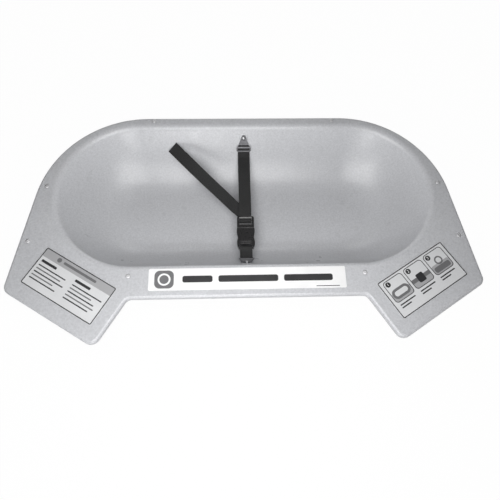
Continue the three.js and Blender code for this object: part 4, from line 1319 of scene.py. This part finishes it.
class CHANGING_OT_buckle(bpy.types.Operator):
    """Models both halves of the buckle and its two prongs"""

    bl_idname = "changing.buckle"
    bl_label = "Buckle"

    def execute(self, context):
        level = moved(z=context.scene.belt_sizes.level)
        made = [(male_half(), "male_half", "buckle_male"), (female_half(), "female_half", "buckle_female")]
        for name, side in SIDES:
            made.append((prong(f"buckle_prong_{name}", side), f"{name}_prong", f"prong_{name}"))
        for piece, body, node in made:
            give(place(piece, level), body, "buckle_acetal", instead=node)
        return {"FINISHED"}


# Labels, whose prints are drawn in millimetres

LABEL_SKIN, INK = mm(0.5, 0.06)
INK_SIDES = (-INK / 2, INK)
INK_STEP = 0.02 * INK
LABEL_CORNER, BORDER_MARGIN, BORDER_LINE = 3, 0.6, 1.9
PAINTS = ("vinyl", "dark_ink", "grey_ink", "pale_ink", "wing_vinyl")
VINYL, DARK, GREY, PALE, WING = range(len(PAINTS))
LINE_LENGTHS = (62, 55, 66, 48, 58)


def painted(piece, paint):
    """Gives all the faces of a printed piece one of the label's paints."""
    piece.data.materials.clear()
    for name in PAINTS:
        piece.data.materials.append(finish(name))
    for face in piece.data.polygons:
        face.material_index = paint
    return piece


def field(paint, x, y, radius):
    """A printed field with round corners."""
    return painted(slab(mm(*x), mm(*y), INK_SIDES, radius * MM, "ink"), paint)


def outline(paint, x, y, radius, line):
    """A printed outline with round corners."""
    outline_face(*rounded_box(mm(*x), mm(*y), radius * MM, 6), INK_SIDES[0])
    bpy.ops.mesh.inset(thickness=line * MM)
    bpy.ops.mesh.delete(type="FACE")
    select_all()
    extrude(z=INK_SIDES[1] - INK_SIDES[0])
    face_outwards()
    return painted(done("ink"), paint)


def at_spot(piece, paint, x, y, z=0.0):
    """Paints a print and moves it to its spot on the label."""
    return painted(place(piece, moved(x * MM, y * MM, z)), paint)


def disc(paint, x, y, radius):
    """A printed disc."""
    return at_spot(rod(radius * MM, *INK_SIDES, "ink", 32), paint, x, y)


def ring(paint, x, y, radius, line):
    """A printed ring."""
    low, high = INK_SIDES
    inner, outer = mm(radius - line, radius)
    profile = [(inner, low), (outer, low), (outer, high), (inner, high), (inner, low)]
    return at_spot(turned(profile, "ink"), paint, x, y)


def number(paint, text, x, y, size):
    """A plain number, printed over the other ink."""
    words = shape(bpy.ops.object.text_add, "ink")
    words.data.body = text
    words.data.align_x = words.data.align_y = "CENTER"
    words.data.size = size * MM
    words.data.extrude = INK
    bpy.ops.object.convert(target="MESH")
    return at_spot(bpy.context.active_object, paint, x, y, 1.6 * INK)


def wing_border(half, low):
    """The dark line round a wing label."""
    return outline(DARK, both(half - BORDER_MARGIN), both(low - BORDER_MARGIN), LABEL_CORNER, BORDER_LINE)


def notice_print(half, low):
    """Left label: a pale head band, and two columns of blank lines."""
    border = wing_border(half, low)
    half, low = half - BORDER_MARGIN, low - BORDER_MARGIN
    made = [field(PALE, both(half - 1), (low - 18, low - 1), 3), border]
    made += [disc(GREY, -44, low - 9.5, 4.6), field(GREY, (-34, 40), (low - 12, low - 7), 2)]
    for column, x in enumerate((7 - half, 5)):
        made.append(field(DARK, (x, x + 34), (low - 28.5, low - 23.5), 1.5))
        for row in range(5):
            y = low - 36.5 - 6.9 * row
            reach = LINE_LENGTHS[(row + 2 * column) % 5]
            made.append(field(GREY if row % 2 else DARK, (x, x + reach), (y, y + 2.3), 0.8))
    return made


def steps_print(half, low):
    """Right label: three numbered panels with plain shapes, and blank lines under them."""
    made = [wing_border(half, low)]
    top, bottom = low - BORDER_MARGIN - 5, low - BORDER_MARGIN - 51
    for panel in range(3):
        x = (panel - 1) * 49.5
        sides = (x - 22.5, x + 22.5)
        made += [field(PALE, sides, (bottom, bottom + 20), 6), outline(DARK, sides, (bottom, top), 7, 1.4)]
        made += [disc(DARK, x - 13.5, top - 8, 5.2), number(VINYL, str(panel + 1), x - 13.5, top - 8, 8)]
        for row, reach in enumerate((36, 22)):
            y = bottom - 7 - 5.6 * row
            made.append(field(DARK, (x - 19, x + reach - 19), (y, y + 2.4), 0.8))
    floor = bottom + 5
    made.append(field(GREY, (-69, -30), (floor, floor + 20), 9.5))
    made.append(field(WING, (-64, -35), (floor + 5, floor + 15), 4.8))
    made.append(field(GREY, both(21), (floor + 7, floor + 15), 1))
    made.append(field(DARK, both(8), (floor + 2, floor + 20), 3))
    return made + [field(GREY, (31, 68), (floor - 1, floor + 10), 4), ring(GREY, 51, floor + 19, 8.5, 3)]


def front_print(half, low):
    """Front label: a plain round mark, three blank bars and a fine line."""
    made = [field(GREY, (11 - half, 47 - half), both(17.5), 10), ring(VINYL, 29 - half, 0, 12, 3.4)]
    x = 63 - half
    for reach in (56, 112, 92):
        made.append(field(DARK, (x, x + reach), both(6.5), 4))
        x += reach + 11
    return made + [field(DARK, (half - 57, half - 13), (3.35 - low, 4.75 - low), 0.5)]


LABELS = {
    "left": ("wing", WING, notice_print, -WING_ANGLE),
    "right": ("wing", WING, steps_print, WING_ANGLE),
    "front": ("front", VINYL, front_print, 0.0),
}


def label_place(name, turn):
    """Middle and turn of a label, from its CAD node."""
    low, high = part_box(f"label_{name}")
    return moved((low.x + high.x) / 2, (low.y + high.y) / 2, high.z) @ Matrix.Rotation(turn, 4, "Z")


class CHANGING_OT_labels(bpy.types.Operator):
    """Models the three labels with their plain print"""

    bl_idname = "changing.labels"
    bl_label = "Labels"

    def execute(self, context):
        sizes = context.scene.label_sizes
        for name, (kind, paint, prints, turn) in LABELS.items():
            half, low = getattr(sizes, f"{kind}_length") / 2, getattr(sizes, f"{kind}_width") / 2
            film = slab(both(half), both(low), (-LABEL_SKIN, 0), LABEL_CORNER * MM, "film", 8)
            pieces = [painted(soften(film, 0.12 * MM, 2, 50), paint)]
            for order, piece in enumerate(prints(half / MM, low / MM)):
                pieces.append(place(piece, moved(z=INK_STEP * order)))
            label = place(join(f"printed_label_{name}", *pieces), label_place(name, turn))
            give(smooth(label, 30), "tray_body", instead=f"label_{name}")
        return {"FINISHED"}


# Studio

CAMERA_PLACE = Vector((-31.4, -482.4, 901.5)) * MM
CAMERA_YAW, CAMERA_PITCH, CAMERA_ROLL = (math.radians(angle) for angle in (5.978, 68.215, 4.716))
CAMERA_LENS = CAMERA_SENSOR = 36.0
FLOOR_LEVEL = -89 * MM
FLOOR_SIZE = 30
FLOOR_SEEN = 0.95
FLOOR_GLOW = 0.98
WHITE = (1, 1, 1, 1)
LIGHT_TARGET = Vector((0, -0.02, 0))
LIGHTS = {
    "key": (Vector((-0.06, -0.42, 0.64)), 0.6),
    "low": (Vector((-0.15, -1.3, 0.2)), 0.4),
    "back": (Vector((0, 2.5, 0.9)), 1.0),
}


def set_camera(scene):
    """A camera at the viewing angle of the object's picture."""
    camera = shape(bpy.ops.object.camera_add, "studio_camera")
    turn = Matrix.Rotation(-CAMERA_YAW, 4, "Z") @ Matrix.Rotation(math.pi / 2 - CAMERA_PITCH, 4, "X")
    camera.matrix_world = moved(*CAMERA_PLACE) @ turn @ Matrix.Rotation(CAMERA_ROLL, 4, "Z")
    camera.data.sensor_fit = "HORIZONTAL"
    camera.data.sensor_width = CAMERA_SENSOR
    camera.data.lens = CAMERA_LENS
    camera.data.clip_start, camera.data.clip_end = 0.01, 50
    scene.camera = camera


def studio_light(name, spot, size, energy):
    """A soft square light that faces the object."""
    lamp = shape(bpy.ops.object.light_add, name, type="AREA", location=spot)
    lamp.data.size = size
    lamp.data.energy = energy
    lamp.rotation_euler = (LIGHT_TARGET - spot).to_track_quat("-Z", "Y").to_euler()
    lamp.visible_camera = False


def bare_tree(owner):
    """The emptied node tree of a material or a world, with its light path."""
    owner.use_nodes = True
    tree = owner.node_tree
    tree.nodes.clear()
    return tree, tree.nodes.new("ShaderNodeLightPath").outputs


def floor_material(grey):
    """A pale floor that shows white to the camera and keeps the object's shadow."""
    material = bpy.data.materials.new("studio_floor")
    tree, path = bare_tree(material)
    paint = blend_colours(tree, path["Is Camera Ray"], (*grey, 1), (FLOOR_SEEN, FLOOR_SEEN, FLOOR_SEEN, 1))
    matt = add(tree, "ShaderNodeBsdfDiffuse", {"Color": paint})
    white = add(tree, "ShaderNodeEmission", {"Color": WHITE, "Strength": 1.0})
    seen = maths(tree, "MAXIMUM", path["Is Camera Ray"], path["Is Glossy Ray"])
    seen = maths(tree, "MAXIMUM", seen, path["Is Transmission Ray"])
    share = maths(tree, "MULTIPLY", seen, FLOOR_GLOW)
    mixed = add(tree, "ShaderNodeMixShader", {0: share, 1: matt.outputs[0], 2: white.outputs[0]})
    add(tree, "ShaderNodeOutputMaterial", {"Surface": mixed.outputs[0]})
    return material


def set_world(scene, strength):
    """Even light all round, white behind the object."""
    world = bpy.data.worlds.new("studio_world")
    tree, path = bare_tree(world)
    light = add(tree, "ShaderNodeBackground", {"Color": WHITE, "Strength": strength})
    white = add(tree, "ShaderNodeBackground", {"Color": WHITE, "Strength": 1.0})
    sockets = {0: path["Is Camera Ray"], 1: light.outputs[0], 2: white.outputs[0]}
    mixed = add(tree, "ShaderNodeMixShader", sockets)
    add(tree, "ShaderNodeOutputWorld", {"Surface": mixed.outputs[0]})
    scene.world = world


class CHANGING_OT_studio(bpy.types.Operator):
    """Sets the floor, the lights and the camera"""

    bl_idname = "changing.studio"
    bl_label = "Studio"

    def execute(self, context):
        scene = context.scene
        studio = scene.studio_settings
        floor = shape(bpy.ops.mesh.primitive_plane_add, "studio_floor", size=FLOOR_SIZE)
        place(floor, moved(z=FLOOR_LEVEL))
        floor.data.materials.append(floor_material(studio.floor))
        for name, (spot, size) in LIGHTS.items():
            studio_light(f"{name}_light", spot, size, getattr(studio, f"{name}_power"))
        set_world(scene, studio.fill)
        set_camera(scene)
        scene.view_settings.view_transform = "Standard"
        return {"FINISHED"}


# Panel and registration


class CHANGING_PT_panel(bpy.types.Panel):
    """Lists the pieces of the changing tray"""

    bl_idname = "CHANGING_PT_panel"
    bl_label = "Changing tray"
    bl_space_type = "VIEW_3D"
    bl_region_type = "UI"
    bl_category = "Changing tray"

    def draw(self, context):
        for maker in OPERATORS:
            self.layout.operator(maker.bl_idname)
        for group in SETTINGS:
            box = self.layout.box()
            settings = getattr(context.scene, group)
            for name in settings.__annotations__:
                box.prop(settings, name)


SETTINGS = {
    "tray_sizes": TraySizes,
    "belt_sizes": BeltSizes,
    "label_sizes": LabelSizes,
    "studio_settings": StudioSettings,
}
OPERATORS = (
    CHANGING_OT_studio,
    CHANGING_OT_tray,
    CHANGING_OT_flange_screws,
    CHANGING_OT_anchors,
    CHANGING_OT_belt,
    CHANGING_OT_buckle,
    CHANGING_OT_labels,
)
CLASSES = (*SETTINGS.values(), *OPERATORS, CHANGING_PT_panel)


def register():
    for kind in CLASSES:
        bpy.utils.register_class(kind)
    for name, group in SETTINGS.items():
        setattr(bpy.types.Scene, name, PointerProperty(type=group))


def unregister():
    for name in SETTINGS:
        delattr(bpy.types.Scene, name)
    for kind in reversed(CLASSES):
        bpy.utils.unregister_class(kind)


def main():
    register()
    for maker in OPERATORS:
        family, name = maker.bl_idname.split(".")
        getattr(getattr(bpy.ops, family), name)()
    clear_selection()


if __name__ == "__main__":
    main()
